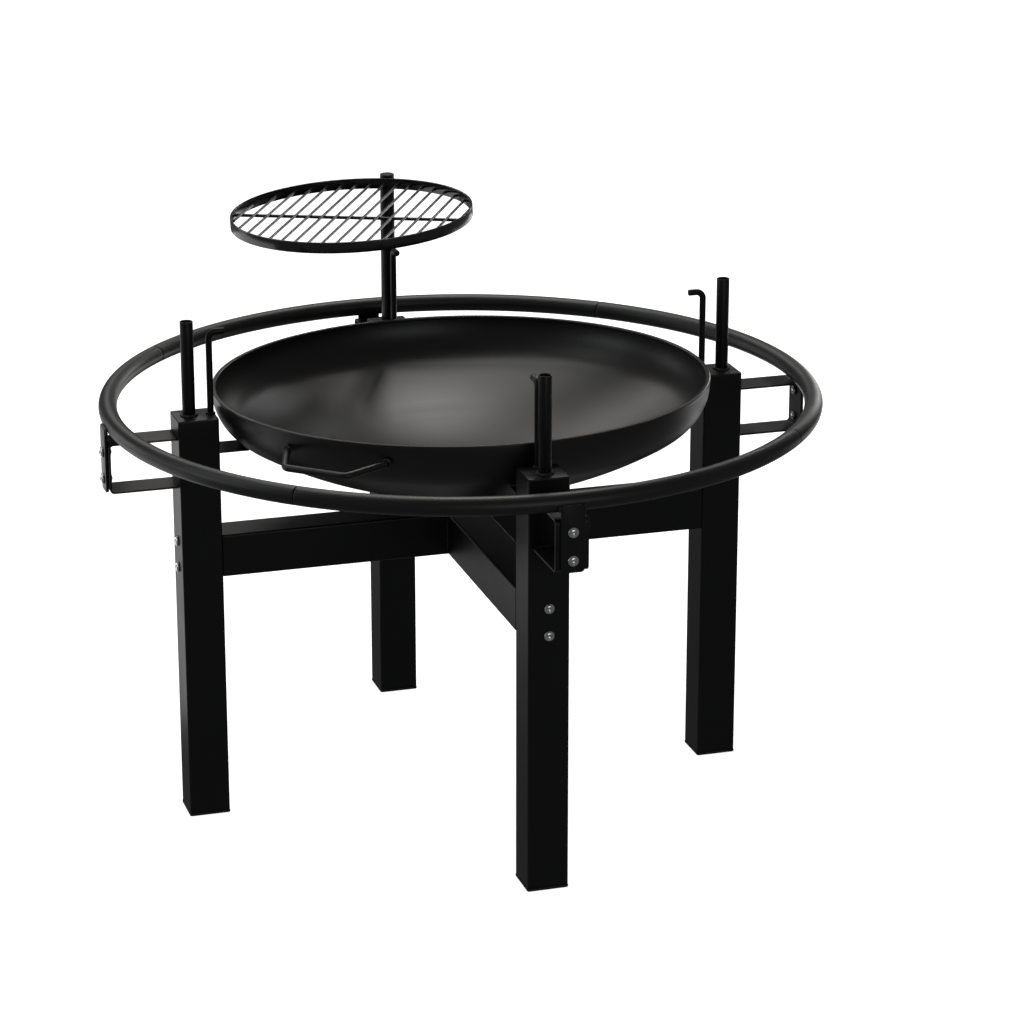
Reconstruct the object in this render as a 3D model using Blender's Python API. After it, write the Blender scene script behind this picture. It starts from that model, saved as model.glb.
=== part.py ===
"""Fire pit with a swivel grate, built piece by piece.

Four square-tube legs stand on a cross frame. Each leg carries a post, a hook, a bracket that holds the round
guard rail, and a short arm that the bowl rests on. The grate turns on the rear post and lifts off it.
Metres, +Z up, origin on the floor at the middle. Local +X of every side points outwards.
"""

import math

import bmesh
import bpy
from mathutils import Matrix, Vector

# Clearances
GAP = 0.0003  # between pieces that touch
BOLT_CLEARANCE = 0.0003  # radial, round a bolt in its hole
SLEEVE_CLEARANCE = 0.0003  # radial, round the post inside the grate's sleeve
PLUG_CLEARANCE = 0.0004  # each side, round a plug inside its tube

# Legs
LEG_RADIUS = 0.400  # from the middle to a leg's axis
LEG_HEIGHT = 0.613  # from the floor to a leg's top face
LEG_WIDTH = 0.060
LEG_WALL = 0.002
LEG_TOP_PLATE = 0.004
LEG_CORNER = 0.003
FOOT_PLATE = 0.004
FOOT_OVERHANG = 0.0006
FOOT_PLUG_HEIGHT = 0.018
FOOT_PLUG_WALL = 0.003

# Cross frame
BEAM_WIDTH = 0.060
BEAM_HEIGHT = 0.064
BEAM_BOTTOM = LEG_HEIGHT - 0.241
BEAM_WALL = 0.0025
BEAM_END_PLATE = 0.005
BEAM_CORNER = 0.003

# Bolts
BOLT_RADIUS = 0.004
BOLT_HEAD_RADIUS = 0.0075
BOLT_HEAD_HEIGHT = 0.0045
BOLT_SOCKET_RADIUS = 0.0026
BOLT_SOCKET_DEPTH = 0.0022
BOLT_SPACING = 0.040
BOLT_TIP = 0.005  # how far a tip stands out behind the last plate

# Post and hook on each leg
POST_RADIUS = 0.0095
POST_WALL = 0.0015
POST_HEIGHT = 0.140
POST_OFFSET = 0.008  # outwards from the leg's axis
HOOK_RADIUS = 0.00475
HOOK_HEIGHT = 0.127  # to the top of its bent end
HOOK_OFFSET = 0.0235  # inwards from the leg's axis
HOOK_REACH = 0.023
HOOK_BEND = 0.010

# Guard rail, its brackets and tabs
RAIL_RADIUS = 0.5175  # to the middle of the tube
RAIL_TUBE_RADIUS = 0.01345
RAIL_WALL = 0.0015
RAIL_HEIGHT = LEG_HEIGHT - 0.005
RAIL_JOINT_GAP = 0.0008
RAIL_TURN = 3.5  # degrees, how far each quarter is turned past its leg
BRACKET_TOP = LEG_HEIGHT - 0.026
BRACKET_HEIGHT = 0.075
BRACKET_WIDTH = 0.048
BRACKET_STRIP = 0.003
BRACKET_BEND = 0.007  # outside of the bend
TAB_WIDTH = 0.034
TAB_THICKNESS = 0.004
TAB_CORNER = 0.006

# Bowl
BOWL_RADIUS = 0.366
BOWL_RIM_HEIGHT = LEG_HEIGHT + 0.023  # at the middle of the rim's circle
BOWL_TIP_BACK = 1.4  # degrees, how far the bowl leans down to the rear
BOWL_TIP_LEFT = 0.5  # degrees, how far it leans down to the left
BOWL_DEPTH = 0.160
BOWL_STRAIGHT = 0.006  # upright part below the rim
BOWL_KNUCKLE = 0.073
BOWL_WALL = 0.003
BOWL_LIP_WIDTH = 0.006
BOWL_LIP_HEIGHT = 0.005
BOWL_LIP_CHAMFER = 0.0012

# Arms under the bowl
SEAT_TIP_RADIUS = BOWL_RADIUS - 0.040
SEAT_WIDTH = 0.048
SEAT_STRIP = 0.003

# Bowl handles
HANDLE_RADIUS = 0.005
HANDLE_DEPTH = 0.026  # below the rim
HANDLE_FOOT_WIDTH = 0.160
HANDLE_GRIP_WIDTH = 0.098
HANDLE_REACH = 0.053
HANDLE_DROP = 0.0065
HANDLE_BEND = 0.012

# Grate
GRATE_RADIUS = 0.183
GRATE_BOTTOM = LEG_HEIGHT + 0.216  # of the band, at the sleeve
GRATE_BAND_HEIGHT = 0.0165
GRATE_BAND = 0.003
GRATE_ROD_RADIUS = 0.002
GRATE_ROD_SPACING = 0.0215
GRATE_ROD_PAIRS = 8  # on each side of the middle rod
GRATE_CROSS_RADIUS = 0.0025
GRATE_CROSS_RISE = 0.0035  # axis of the cross rod above the band's lower edge
GRATE_ROD_BITE = 0.0008  # how deep the rods are welded into the cross rod
GRATE_SWING = 31.0  # degrees, from the middle of the pit towards the left side
GRATE_DROOP = 2.1  # degrees, how far the grate hangs down away from its post
GRATE_LEAN = 2.2  # degrees, how far it leans down to the left
SLEEVE_WALL = 0.0012
SLEEVE_TOP = LEG_HEIGHT + 0.2325
CAP_THICKNESS = 0.004
CAP_PLUG_HEIGHT = 0.008

# Facets
ROUND_TUBE = 24
ROUND_RAIL = 12
ROUND_ROD = 8
ROUND_BOLT = 10
ROUND_BOWL = 56
RAIL_STEPS = 14
BEND_STEPS = 4
CORNER_STEPS = 2

SIDES = {"right": 0.0, "rear": 90.0, "left": 180.0, "front": 270.0}
HANDLE_SIDES = {"front_left": 225.0, "rear_right": 45.0}

LEG_INNER_FACE = LEG_RADIUS - LEG_WIDTH / 2
LEG_OUTER_FACE = LEG_RADIUS + LEG_WIDTH / 2
BEAM_END = LEG_INNER_FACE - GAP
BEAM_MIDDLE = BEAM_BOTTOM + BEAM_HEIGHT / 2
WEB_OUTER_FACE = RAIL_RADIUS + RAIL_TUBE_RADIUS  # the tab touches both the web and the rail
BRACKET_MIDDLE = BRACKET_TOP - BRACKET_HEIGHT / 2
POST_AXIS = LEG_RADIUS + POST_OFFSET
SLEEVE_INNER = POST_RADIUS + SLEEVE_CLEARANCE
SLEEVE_OUTER = SLEEVE_INNER + SLEEVE_WALL


def clear_scene():
    """Removes every object of the startup scene."""
    for obj in list(bpy.data.objects):
        bpy.data.objects.remove(obj, do_unlink=True)


def finish_material(name, colour, roughness, metallic):
    """A plain Principled material."""
    material = bpy.data.materials.new(name)
    material.use_nodes = True
    shader = material.node_tree.nodes["Principled BSDF"]
    shader.inputs["Base Color"].default_value = (*colour, 1.0)
    shader.inputs["Roughness"].default_value = roughness
    shader.inputs["Metallic"].default_value = metallic
    return material


def link(obj, parent=None, location=(0.0, 0.0, 0.0), angle=0.0):
    """Puts an object in the scene under its parent, turned about Z by an angle in degrees."""
    bpy.context.scene.collection.objects.link(obj)
    obj.parent = parent
    obj.location = location
    obj.rotation_euler = (0.0, 0.0, math.radians(angle))
    return obj


def empty(name, parent=None, location=(0.0, 0.0, 0.0), angle=0.0):
    """An empty that carries the pieces of one side or one moving group."""
    return link(bpy.data.objects.new(name, None), parent, location, angle)


def mesh_of(name, bm, sharp_degrees=35.0):
    """A mesh from a bmesh: faces turned outwards, round faces smooth, edges sharp where they turn."""
    bmesh.ops.recalc_face_normals(bm, faces=bm.faces)
    mesh = bpy.data.meshes.new(name)
    bm.to_mesh(mesh)
    bm.free()
    mesh.shade_smooth()
    mesh.set_sharp_from_angle(angle=math.radians(sharp_degrees))
    return mesh


def piece(name, mesh, material, parent=None, location=(0.0, 0.0, 0.0), angle=0.0):
    """One named piece of the fire pit. Copies on other sides share the mesh."""
    if not mesh.materials:
        mesh.materials.append(material)
    return link(bpy.data.objects.new(name, mesh), parent, location, angle)


def cutter(name, mesh, parent=None, location=(0.0, 0.0, 0.0), angle=0.0):
    """A helper that only cuts."""
    obj = link(bpy.data.objects.new(name, mesh), parent, location, angle)
    obj.hide_render = True
    obj.display_type = "WIRE"
    return obj


def cut(obj, *cutters):
    """Takes the cutters out of an object, one Boolean each."""
    for tool in cutters:
        modifier = obj.modifiers.new("cut_" + tool.name, "BOOLEAN")
        modifier.operation = "DIFFERENCE"
        modifier.solver = "EXACT"
        modifier.object = tool


def skin(bm, rings, looped=False):
    """Joins rings of equally many points into one closed surface, capped at both ends or joined end to start."""
    rows = [[bm.verts.new(point) for point in ring] for ring in rings]
    pairs = list(zip(rows, rows[1:]))
    if looped:
        pairs.append((rows[-1], rows[0]))
    count = len(rows[0])
    for lower, upper in pairs:
        for i in range(count):
            j = (i + 1) % count
            bm.faces.new((lower[i], lower[j], upper[j], upper[i]))
    if not looped:
        bm.faces.new(rows[0])
        bm.faces.new(rows[-1])


def skinned(name, rings, looped=False):
    """A mesh made of one skin."""
    bm = bmesh.new()
    skin(bm, rings, looped)
    return mesh_of(name, bm)


def circle(radius, steps, height=0.0):
    """Points round Z at one height."""
    turns = [math.tau * i / steps for i in range(steps)]
    return [Vector((radius * math.cos(t), radius * math.sin(t), height)) for t in turns]


def rounded_rectangle(width, depth, corner, height=0.0):
    """Points of a rectangle with round corners, anticlockwise, at one height."""
    points = []
    for quarter in range(4):
        sign_x = 1 if quarter in (0, 3) else -1
        sign_y = 1 if quarter in (0, 1) else -1
        middle = Vector((sign_x * (width / 2 - corner), sign_y * (depth / 2 - corner), height))
        for i in range(CORNER_STEPS + 1):
            turn = math.tau / 4 * (quarter + i / CORNER_STEPS)
            points.append(middle + corner * Vector((math.cos(turn), math.sin(turn), 0.0)))
    return points


def turned(name, profile, steps, looped=False):
    """A turned piece from a profile of (radius, height) points."""
    return skinned(name, [circle(radius, steps, height) for radius, height in profile], looped)


def along_x(mesh):
    """Turns a mesh built along +Z so that it points along +X."""
    mesh.transform(Matrix.Rotation(math.radians(90.0), 4, "Y"))
    return mesh


def rounded_path(corners, bend):
    """A path through corner points, with an arc of one radius at each inner corner."""
    path = [Vector(corners[0])]
    for before, corner, after in zip(corners, corners[1:], corners[2:]):
        corner = Vector(corner)
        towards_before = (Vector(before) - corner).normalized()
        towards_after = (Vector(after) - corner).normalized()
        half = towards_before.angle(towards_after) / 2
        middle = corner + (towards_before + towards_after).normalized() * bend / math.sin(half)
        start = corner + towards_before * bend / math.tan(half) - middle
        end = corner + towards_after * bend / math.tan(half) - middle
        path.extend(middle + bend * start.slerp(end, i / BEND_STEPS) for i in range(BEND_STEPS + 1))
    path.append(Vector(corners[-1]))
    return path


def rod_along(name, path, radius, steps, side):
    """A solid round rod along a flat path. side is the unit vector square to the path's plane."""
    rings = []
    for i, point in enumerate(path):
        before = path[max(i - 1, 0)]
        after = path[min(i + 1, len(path) - 1)]
        if 0 < i < len(path) - 1:
            tangent = (point - before).normalized() + (after - point).normalized()
        else:
            tangent = after - before
        across = side.cross(tangent.normalized())
        turns = [math.tau * (k + 0.5) / steps for k in range(steps)]
        rings.append([point + radius * (math.cos(t) * side + math.sin(t) * across) for t in turns])
    return skinned(name, rings)


def square_bar(name, length, width, height, corner):
    """A bar along +X with rounded long edges, its start and its lower face's middle at the origin."""
    outline = rounded_rectangle(height, width, corner)
    ring = [Vector((0.0, p.y, height / 2 - p.x)) for p in outline]
    return skinned(name, [ring, [p + Vector((length, 0.0, 0.0)) for p in ring]])


def bolt_mesh(name, grip):
    """A round-head bolt along -X: under its head at x = 0, with a round socket. grip is its shank's length."""
    top = BOLT_HEAD_HEIGHT
    profile = [
        (BOLT_SOCKET_RADIUS, top - BOLT_SOCKET_DEPTH),
        (BOLT_SOCKET_RADIUS, top),
        (BOLT_HEAD_RADIUS * 0.62, top * 0.93),
        (BOLT_HEAD_RADIUS * 0.9, top * 0.6),
        (BOLT_HEAD_RADIUS, 0.0),
        (BOLT_RADIUS, 0.0),
        (BOLT_RADIUS, -grip),
    ]
    return along_x(turned(name, profile, ROUND_BOLT))


def bolt_holes(name, length):
    """Two round cutters along -X, one bolt spacing apart in height."""
    bm = bmesh.new()
    radius = BOLT_RADIUS + BOLT_CLEARANCE
    for height in (BOLT_SPACING / 2, -BOLT_SPACING / 2):
        rings = []
        for x in (0.0, -length):
            rings.append([Vector((x, p.x, p.y + height)) for p in circle(radius, ROUND_BOLT)])
        skin(bm, rings)
    return mesh_of(name, bm)


def leg_mesh():
    """A square tube closed by a top plate and open at the floor, where the foot plugs in."""
    bore = LEG_WIDTH - 2 * LEG_WALL
    bore_corner = LEG_CORNER - LEG_WALL
    bottom = FOOT_PLATE + GAP
    ceiling = LEG_HEIGHT - LEG_TOP_PLATE
    edge = 0.0012
    rings = [
        rounded_rectangle(bore, bore, bore_corner, ceiling),
        rounded_rectangle(bore, bore, bore_corner, bottom),
        rounded_rectangle(LEG_WIDTH, LEG_WIDTH, LEG_CORNER, bottom),
        rounded_rectangle(LEG_WIDTH, LEG_WIDTH, LEG_CORNER, LEG_HEIGHT - edge),
        rounded_rectangle(LEG_WIDTH - 2 * edge, LEG_WIDTH - 2 * edge, LEG_CORNER - edge, LEG_HEIGHT),
    ]
    return skinned("leg", rings)


def foot_mesh():
    """A plastic foot: a plate under the tube and a hollow plug inside it."""
    plate = LEG_WIDTH + 2 * FOOT_OVERHANG
    plug = LEG_WIDTH - 2 * LEG_WALL - 2 * PLUG_CLEARANCE
    hollow = plug - 2 * FOOT_PLUG_WALL
    top = FOOT_PLATE + FOOT_PLUG_HEIGHT
    corner = LEG_CORNER - LEG_WALL
    rings = [
        rounded_rectangle(hollow, hollow, corner, FOOT_PLATE),
        rounded_rectangle(hollow, hollow, corner, top),
        rounded_rectangle(plug, plug, corner, top),
        rounded_rectangle(plug, plug, corner, FOOT_PLATE),
        rounded_rectangle(plate, plate, LEG_CORNER, FOOT_PLATE),
        rounded_rectangle(plate, plate, LEG_CORNER, 0.0),
    ]
    return skinned("foot", rings)


def post_mesh():
    """An open round tube that accessories slide over."""
    inner = POST_RADIUS - POST_WALL
    profile = [(inner, 0.0), (POST_RADIUS, 0.0), (POST_RADIUS, POST_HEIGHT), (inner, POST_HEIGHT)]
    return turned("post", profile, ROUND_TUBE, looped=True)


def hook_mesh():
    """A round rod that rises beside the post and bends towards the middle of the pit."""
    height = HOOK_HEIGHT - HOOK_RADIUS
    corners = [(0.0, 0.0, 0.0), (0.0, 0.0, height), (-HOOK_REACH, 0.0, height)]
    side = Vector((0.0, 1.0, 0.0))
    return rod_along("hook", rounded_path(corners, HOOK_BEND), HOOK_RADIUS, ROUND_ROD, side)


def bracket_mesh():
    """A flat strip bent to a U: two arms from the leg and an upright web at their outer ends."""
    start = LEG_OUTER_FACE + GAP
    half = BRACKET_HEIGHT / 2
    inset = BRACKET_STRIP
    outer = [
        (start, 0.0, half),
        (WEB_OUTER_FACE, 0.0, half),
        (WEB_OUTER_FACE, 0.0, -half),
        (start, 0.0, -half),
    ]
    inner = [
        (start, 0.0, half - inset),
        (WEB_OUTER_FACE - inset, 0.0, half - inset),
        (WEB_OUTER_FACE - inset, 0.0, inset - half),
        (start, 0.0, inset - half),
    ]
    outline = rounded_path(outer, BRACKET_BEND)
    outline += reversed(rounded_path(inner, BRACKET_BEND - inset))
    shift = Vector((0.0, BRACKET_WIDTH / 2, 0.0))
    return skinned("bracket", [[p - shift for p in outline], [p + shift for p in outline]])


def tab_mesh():
    """The plate between web and rail, its lower corners rounded, its top at the rail's middle."""
    bottom = BRACKET_TOP - BRACKET_HEIGHT
    height = RAIL_HEIGHT - bottom
    outline = rounded_rectangle(height, TAB_WIDTH, TAB_CORNER, 0.0)
    ring = [Vector((0.0, p.y, bottom + height / 2 + p.x)) for p in outline]
    return skinned("tab", [ring, [p + Vector((TAB_THICKNESS, 0.0, 0.0)) for p in ring]])


def seat_mesh():
    """A flat strip from the leg's inner face to the bowl, its upper face at z = 0."""
    length = LEG_INNER_FACE - GAP - SEAT_TIP_RADIUS
    mesh = square_bar("seat", length, SEAT_WIDTH, SEAT_STRIP, 0.0005)
    mesh.transform(Matrix.Translation((SEAT_TIP_RADIUS, 0.0, -SEAT_STRIP)))
    return mesh


def beam_mesh(name, start, end):
    """A square-tube beam along +X, from start to end."""
    mesh = square_bar(name, end - start, BEAM_WIDTH, BEAM_HEIGHT, BEAM_CORNER)
    mesh.transform(Matrix.Translation((start, 0.0, BEAM_BOTTOM)))
    return mesh


def beam_bore_mesh(name, start, end):
    """What is hollow inside a beam, up to the plates that close its ends."""
    start += BEAM_END_PLATE
    end -= BEAM_END_PLATE
    width = BEAM_WIDTH - 2 * BEAM_WALL
    height = BEAM_HEIGHT - 2 * BEAM_WALL
    mesh = square_bar(name, end - start, width, height, BEAM_CORNER - BEAM_WALL)
    mesh.transform(Matrix.Translation((start, 0.0, BEAM_BOTTOM + BEAM_WALL)))
    return mesh


def rail_mesh():
    """A quarter of the guard rail: a round tube along an arc, with its middle at local +X."""
    half = math.tau / 8 - RAIL_JOINT_GAP / 2 / RAIL_RADIUS
    bm = bmesh.new()
    rows = {}
    for radius in (RAIL_TUBE_RADIUS, RAIL_TUBE_RADIUS - RAIL_WALL):
        rings = []
        for i in range(RAIL_STEPS + 1):
            turn = Matrix.Rotation(half * (2 * i / RAIL_STEPS - 1), 3, "Z")
            section = circle(radius, ROUND_RAIL)
            rings.append([turn @ Vector((RAIL_RADIUS + p.x, 0.0, p.y)) for p in section])
        rows[radius] = rings
    outer, inner = rows.values()
    skin(bm, outer + inner[::-1], looped=True)
    return mesh_of("rail", bm)


def dish_crown():
    """(radius, centre height) of the bowl's outer crown, which runs on smoothly from the knuckle."""
    middle = BOWL_RADIUS - BOWL_KNUCKLE
    depth = BOWL_DEPTH - BOWL_STRAIGHT
    radius = (depth**2 - BOWL_KNUCKLE**2 + middle**2) / (2 * (depth - BOWL_KNUCKLE))
    rise = math.sqrt((radius - BOWL_KNUCKLE) ** 2 - middle**2)
    return radius, rise - BOWL_STRAIGHT


def dish_profile(offset, knuckle_steps=6, crown_steps=7):
    """(radius, height) points of the bowl, this far inside its outer face, from the knuckle to near the middle."""
    crown, crown_centre = dish_crown()
    middle = BOWL_RADIUS - BOWL_KNUCKLE
    meet = math.asin(middle / (crown - BOWL_KNUCKLE))
    points = []
    for i in range(knuckle_steps + 1):
        turn = (math.tau / 4 - meet) * i / knuckle_steps
        reach = BOWL_KNUCKLE - offset
        points.append((middle + reach * math.cos(turn), -BOWL_STRAIGHT - reach * math.sin(turn)))
    for i in range(1, crown_steps):
        turn = meet * (1 - i / crown_steps)
        reach = crown - offset
        points.append((reach * math.sin(turn), crown_centre - reach * math.cos(turn)))
    return points


def bowl_mesh():
    """A dished pan with a thicker lip. z = 0 is the top of its rim."""
    lip_inner = BOWL_RADIUS - BOWL_LIP_WIDTH
    chamfer = BOWL_LIP_CHAMFER
    profile = dish_profile(0.0)[::-1]
    profile += [(BOWL_RADIUS, -chamfer), (BOWL_RADIUS - chamfer, 0.0)]
    profile += [(lip_inner + chamfer, 0.0), (lip_inner, -chamfer), (lip_inner, -BOWL_LIP_HEIGHT)]
    profile += dish_profile(BOWL_WALL)
    return turned("bowl", profile, ROUND_BOWL)


def bowl_outside_at(depth):
    """Radius of the bowl's outside this far below the rim, on its knuckle."""
    return BOWL_RADIUS - BOWL_KNUCKLE + math.sqrt(BOWL_KNUCKLE**2 - (depth - BOWL_STRAIGHT) ** 2)


def bowl_underside_at(radius, angle):
    """Height of the leaning bowl's outside at a radius on its knuckle and an angle round the pit in degrees."""
    turn = math.radians(angle)
    slope = math.radians(BOWL_TIP_LEFT) * math.cos(turn) - math.radians(BOWL_TIP_BACK) * math.sin(turn)
    across = radius - (BOWL_RADIUS - BOWL_KNUCKLE)
    across -= slope * (BOWL_STRAIGHT + math.sqrt(BOWL_KNUCKLE**2 - across**2))
    depth = BOWL_STRAIGHT + math.sqrt(BOWL_KNUCKLE**2 - across**2)
    return BOWL_RIM_HEIGHT + slope * radius - depth


def handle_mesh():
    """A bent rod: two legs that spread towards the bowl's wall, and a grip between them."""
    foot = HANDLE_FOOT_WIDTH / 2
    grip = HANDLE_GRIP_WIDTH / 2
    wall = bowl_outside_at(HANDLE_DEPTH - HANDLE_RADIUS)
    lean = HANDLE_RADIUS * (foot - grip) / HANDLE_REACH
    start = math.sqrt(wall**2 - (foot - HANDLE_RADIUS) ** 2) + lean + GAP
    outer = wall + HANDLE_REACH
    corners = [
        (start, -foot, 0.0),
        (outer, -grip, -HANDLE_DROP),
        (outer, grip, -HANDLE_DROP),
        (start, foot, 0.0),
    ]
    side = Vector((outer - start, 0.0, -HANDLE_DROP)).cross(Vector((0.0, 1.0, 0.0))).normalized()
    return rod_along("handle", rounded_path(corners, HANDLE_BEND), HANDLE_RADIUS, ROUND_ROD, side)


def band_mesh():
    """The grate's rim, a flat band on edge, from z = 0 up."""
    inner = GRATE_RADIUS - GRATE_BAND
    profile = [(inner, 0.0), (GRATE_RADIUS, 0.0)]
    profile += [(GRATE_RADIUS, GRATE_BAND_HEIGHT), (inner, GRATE_BAND_HEIGHT)]
    return turned("band", profile, ROUND_BOWL, looped=True)


def chord(offset, radius):
    """Half the length of a rod at this offset inside the band."""
    reach = GRATE_RADIUS - GRATE_BAND - GAP
    facet = reach * math.cos(math.pi / ROUND_BOWL)
    return math.sqrt(facet**2 - (abs(offset) + radius) ** 2)


def straight_rod_mesh(name, half_length, radius):
    """A straight rod along X, centred on the origin."""
    rings = []
    for x in (-half_length, half_length):
        rings.append([Vector((x, p.x, p.y)) for p in circle(radius, ROUND_ROD)])
    return skinned(name, rings)


def sleeve_mesh():
    """The tube that the grate hangs on, open below, closed above by its cap."""
    length = SLEEVE_TOP - LEG_HEIGHT - GAP
    profile = [(SLEEVE_INNER, 0.0), (SLEEVE_OUTER, 0.0), (SLEEVE_OUTER, length), (SLEEVE_INNER, length)]
    return turned("sleeve", profile, ROUND_TUBE, looped=True)


def cap_mesh():
    """The sleeve's round cap with the plug that holds it. z = 0 is the underside of its flange."""
    plug = SLEEVE_INNER - PLUG_CLEARANCE
    profile = [(plug, -CAP_PLUG_HEIGHT), (plug, 0.0), (SLEEVE_OUTER, 0.0)]
    profile += [(SLEEVE_OUTER, CAP_THICKNESS * 0.7), (SLEEVE_OUTER - 0.001, CAP_THICKNESS)]
    return turned("cap", profile, ROUND_TUBE)


def build_sides(coat, rubber, zinc):
    """Leg, foot, post, hook, bracket, tab, rail quarter, bowl arm and bolts of all four sides."""
    meshes = {
        "leg": leg_mesh(),
        "foot": foot_mesh(),
        "post": post_mesh(),
        "hook": hook_mesh(),
        "bracket": bracket_mesh(),
        "tab": tab_mesh(),
        "rail": rail_mesh(),
        "seat": seat_mesh(),
    }
    leg_grip = LEG_WIDTH + 2 * GAP + BEAM_END_PLATE + BOLT_TIP
    web_grip = TAB_THICKNESS + GAP + BRACKET_STRIP + GAP + BOLT_TIP
    leg_bolt = bolt_mesh("leg_bolt", leg_grip)
    rail_bolt = bolt_mesh("rail_bolt", web_grip)
    leg_holes = bolt_holes("leg_bolt_holes", leg_grip)
    rail_holes = bolt_holes("rail_bolt_holes", 2 * web_grip)
    tab_face = WEB_OUTER_FACE + GAP
    cutters = {}
    for side, angle in SIDES.items():
        arm = empty("side_" + side, angle=angle)
        leg_cut = cutter("cut_leg_" + side, leg_holes, arm, (LEG_OUTER_FACE + BOLT_TIP / 2, 0.0, BEAM_MIDDLE))
        rail_cut = cutter("cut_rail_" + side, rail_holes, arm, (tab_face + web_grip / 2, 0.0, BRACKET_MIDDLE))
        cutters[side] = leg_cut
        leg = piece("leg_" + side, meshes["leg"], coat, arm, (LEG_RADIUS, 0.0, 0.0))
        cut(leg, leg_cut)
        piece("foot_" + side, meshes["foot"], rubber, arm, (LEG_RADIUS, 0.0, 0.0))
        piece("post_" + side, meshes["post"], coat, arm, (POST_AXIS, 0.0, LEG_HEIGHT + GAP))
        hook_place = (LEG_RADIUS - HOOK_OFFSET, 0.0, LEG_HEIGHT + GAP)
        piece("hook_" + side, meshes["hook"], coat, arm, hook_place)
        bracket = piece("rail_bracket_" + side, meshes["bracket"], coat, arm, (0.0, 0.0, BRACKET_MIDDLE))
        tab = piece("rail_tab_" + side, meshes["tab"], coat, arm, (tab_face, 0.0, 0.0))
        cut(bracket, rail_cut)
        cut(tab, rail_cut)
        piece("rail_" + side, meshes["rail"], coat, arm, (0.0, 0.0, RAIL_HEIGHT), RAIL_TURN)
        seat_height = bowl_underside_at(SEAT_TIP_RADIUS, angle) - GAP
        piece("bowl_arm_" + side, meshes["seat"], coat, arm, (0.0, 0.0, seat_height))
        for level, shift in (("upper", BOLT_SPACING / 2), ("lower", -BOLT_SPACING / 2)):
            leg_place = (LEG_OUTER_FACE + GAP, 0.0, BEAM_MIDDLE + shift)
            rail_place = (tab_face + TAB_THICKNESS + GAP, 0.0, BRACKET_MIDDLE + shift)
            piece(f"leg_bolt_{side}_{level}", leg_bolt, zinc, arm, leg_place)
            piece(f"rail_bolt_{side}_{level}", rail_bolt, zinc, arm, rail_place)
    return cutters


def build_cross_frame(coat, leg_cutters):
    """One beam from left to right, and two half beams that meet it from the front and the rear."""
    inner = BEAM_WIDTH / 2 + GAP
    spans = {
        "cross_beam": (-BEAM_END, BEAM_END, 0.0, ("left", "right")),
        "front_beam": (inner, BEAM_END, SIDES["front"], ("front",)),
        "rear_beam": (inner, BEAM_END, SIDES["rear"], ("rear",)),
    }
    for name, (start, end, angle, ends) in spans.items():
        beam = piece(name, beam_mesh(name, start, end), coat, angle=angle)
        bore = cutter("bore_" + name, beam_bore_mesh("bore_" + name, start, end), angle=angle)
        cut(beam, bore, *(leg_cutters[side] for side in ends))


def build_bowl(pan_coat):
    """The bowl and its two handles, which lift out together."""
    carrier = empty("bowl_lift", location=(0.0, 0.0, BOWL_RIM_HEIGHT))
    carrier.rotation_euler = (math.radians(-BOWL_TIP_BACK), math.radians(-BOWL_TIP_LEFT), 0.0)
    piece("bowl", bowl_mesh(), pan_coat, carrier)
    mesh = handle_mesh()
    for side, angle in HANDLE_SIDES.items():
        place = (0.0, 0.0, -HANDLE_DEPTH)
        piece("handle_" + side, mesh, pan_coat, carrier, place, angle)


def build_grate(coat, plastic, bar_finish):
    """Sleeve and cap, turned about the rear post, and the tilted band and bars. Local +X points from the post."""
    pivot = empty("grate_pivot", location=(0.0, POST_AXIS, 0.0), angle=-90.0 - GRATE_SWING)
    piece("grate_sleeve", sleeve_mesh(), coat, pivot, (0.0, 0.0, LEG_HEIGHT + GAP))
    piece("grate_sleeve_cap", cap_mesh(), plastic, pivot, (0.0, 0.0, SLEEVE_TOP + GAP))
    tilt = empty("grate_tilt", pivot, (SLEEVE_OUTER + GAP, 0.0, GRATE_BOTTOM))
    tilt.rotation_euler = (math.radians(GRATE_LEAN), math.radians(GRATE_DROOP), 0.0)
    centre = GRATE_RADIUS
    piece("grate_band", band_mesh(), coat, tilt, (centre, 0.0, 0.0))
    cross_height = GRATE_CROSS_RISE
    rod_height = cross_height + GRATE_CROSS_RADIUS + GRATE_ROD_RADIUS - GRATE_ROD_BITE
    cross = straight_rod_mesh("cross_rod", chord(0.0, GRATE_CROSS_RADIUS), GRATE_CROSS_RADIUS)
    bars = piece("grate_bars", cross, bar_finish, tilt, (centre, 0.0, cross_height), 90.0)
    group = bpy.data.collections.new("grate_rods")
    bpy.context.scene.collection.children.link(group)
    for i in range(-GRATE_ROD_PAIRS, GRATE_ROD_PAIRS + 1):
        offset = i * GRATE_ROD_SPACING
        rod = straight_rod_mesh("rod", chord(offset, GRATE_ROD_RADIUS), GRATE_ROD_RADIUS)
        tool = cutter(f"rod_{i + GRATE_ROD_PAIRS}", rod, tilt, (centre, offset, rod_height))
        bpy.context.scene.collection.objects.unlink(tool)
        group.objects.link(tool)
    weld = bars.modifiers.new("rods", "BOOLEAN")
    weld.operation = "UNION"
    weld.solver = "EXACT"
    weld.operand_type = "COLLECTION"
    weld.collection = group


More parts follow.
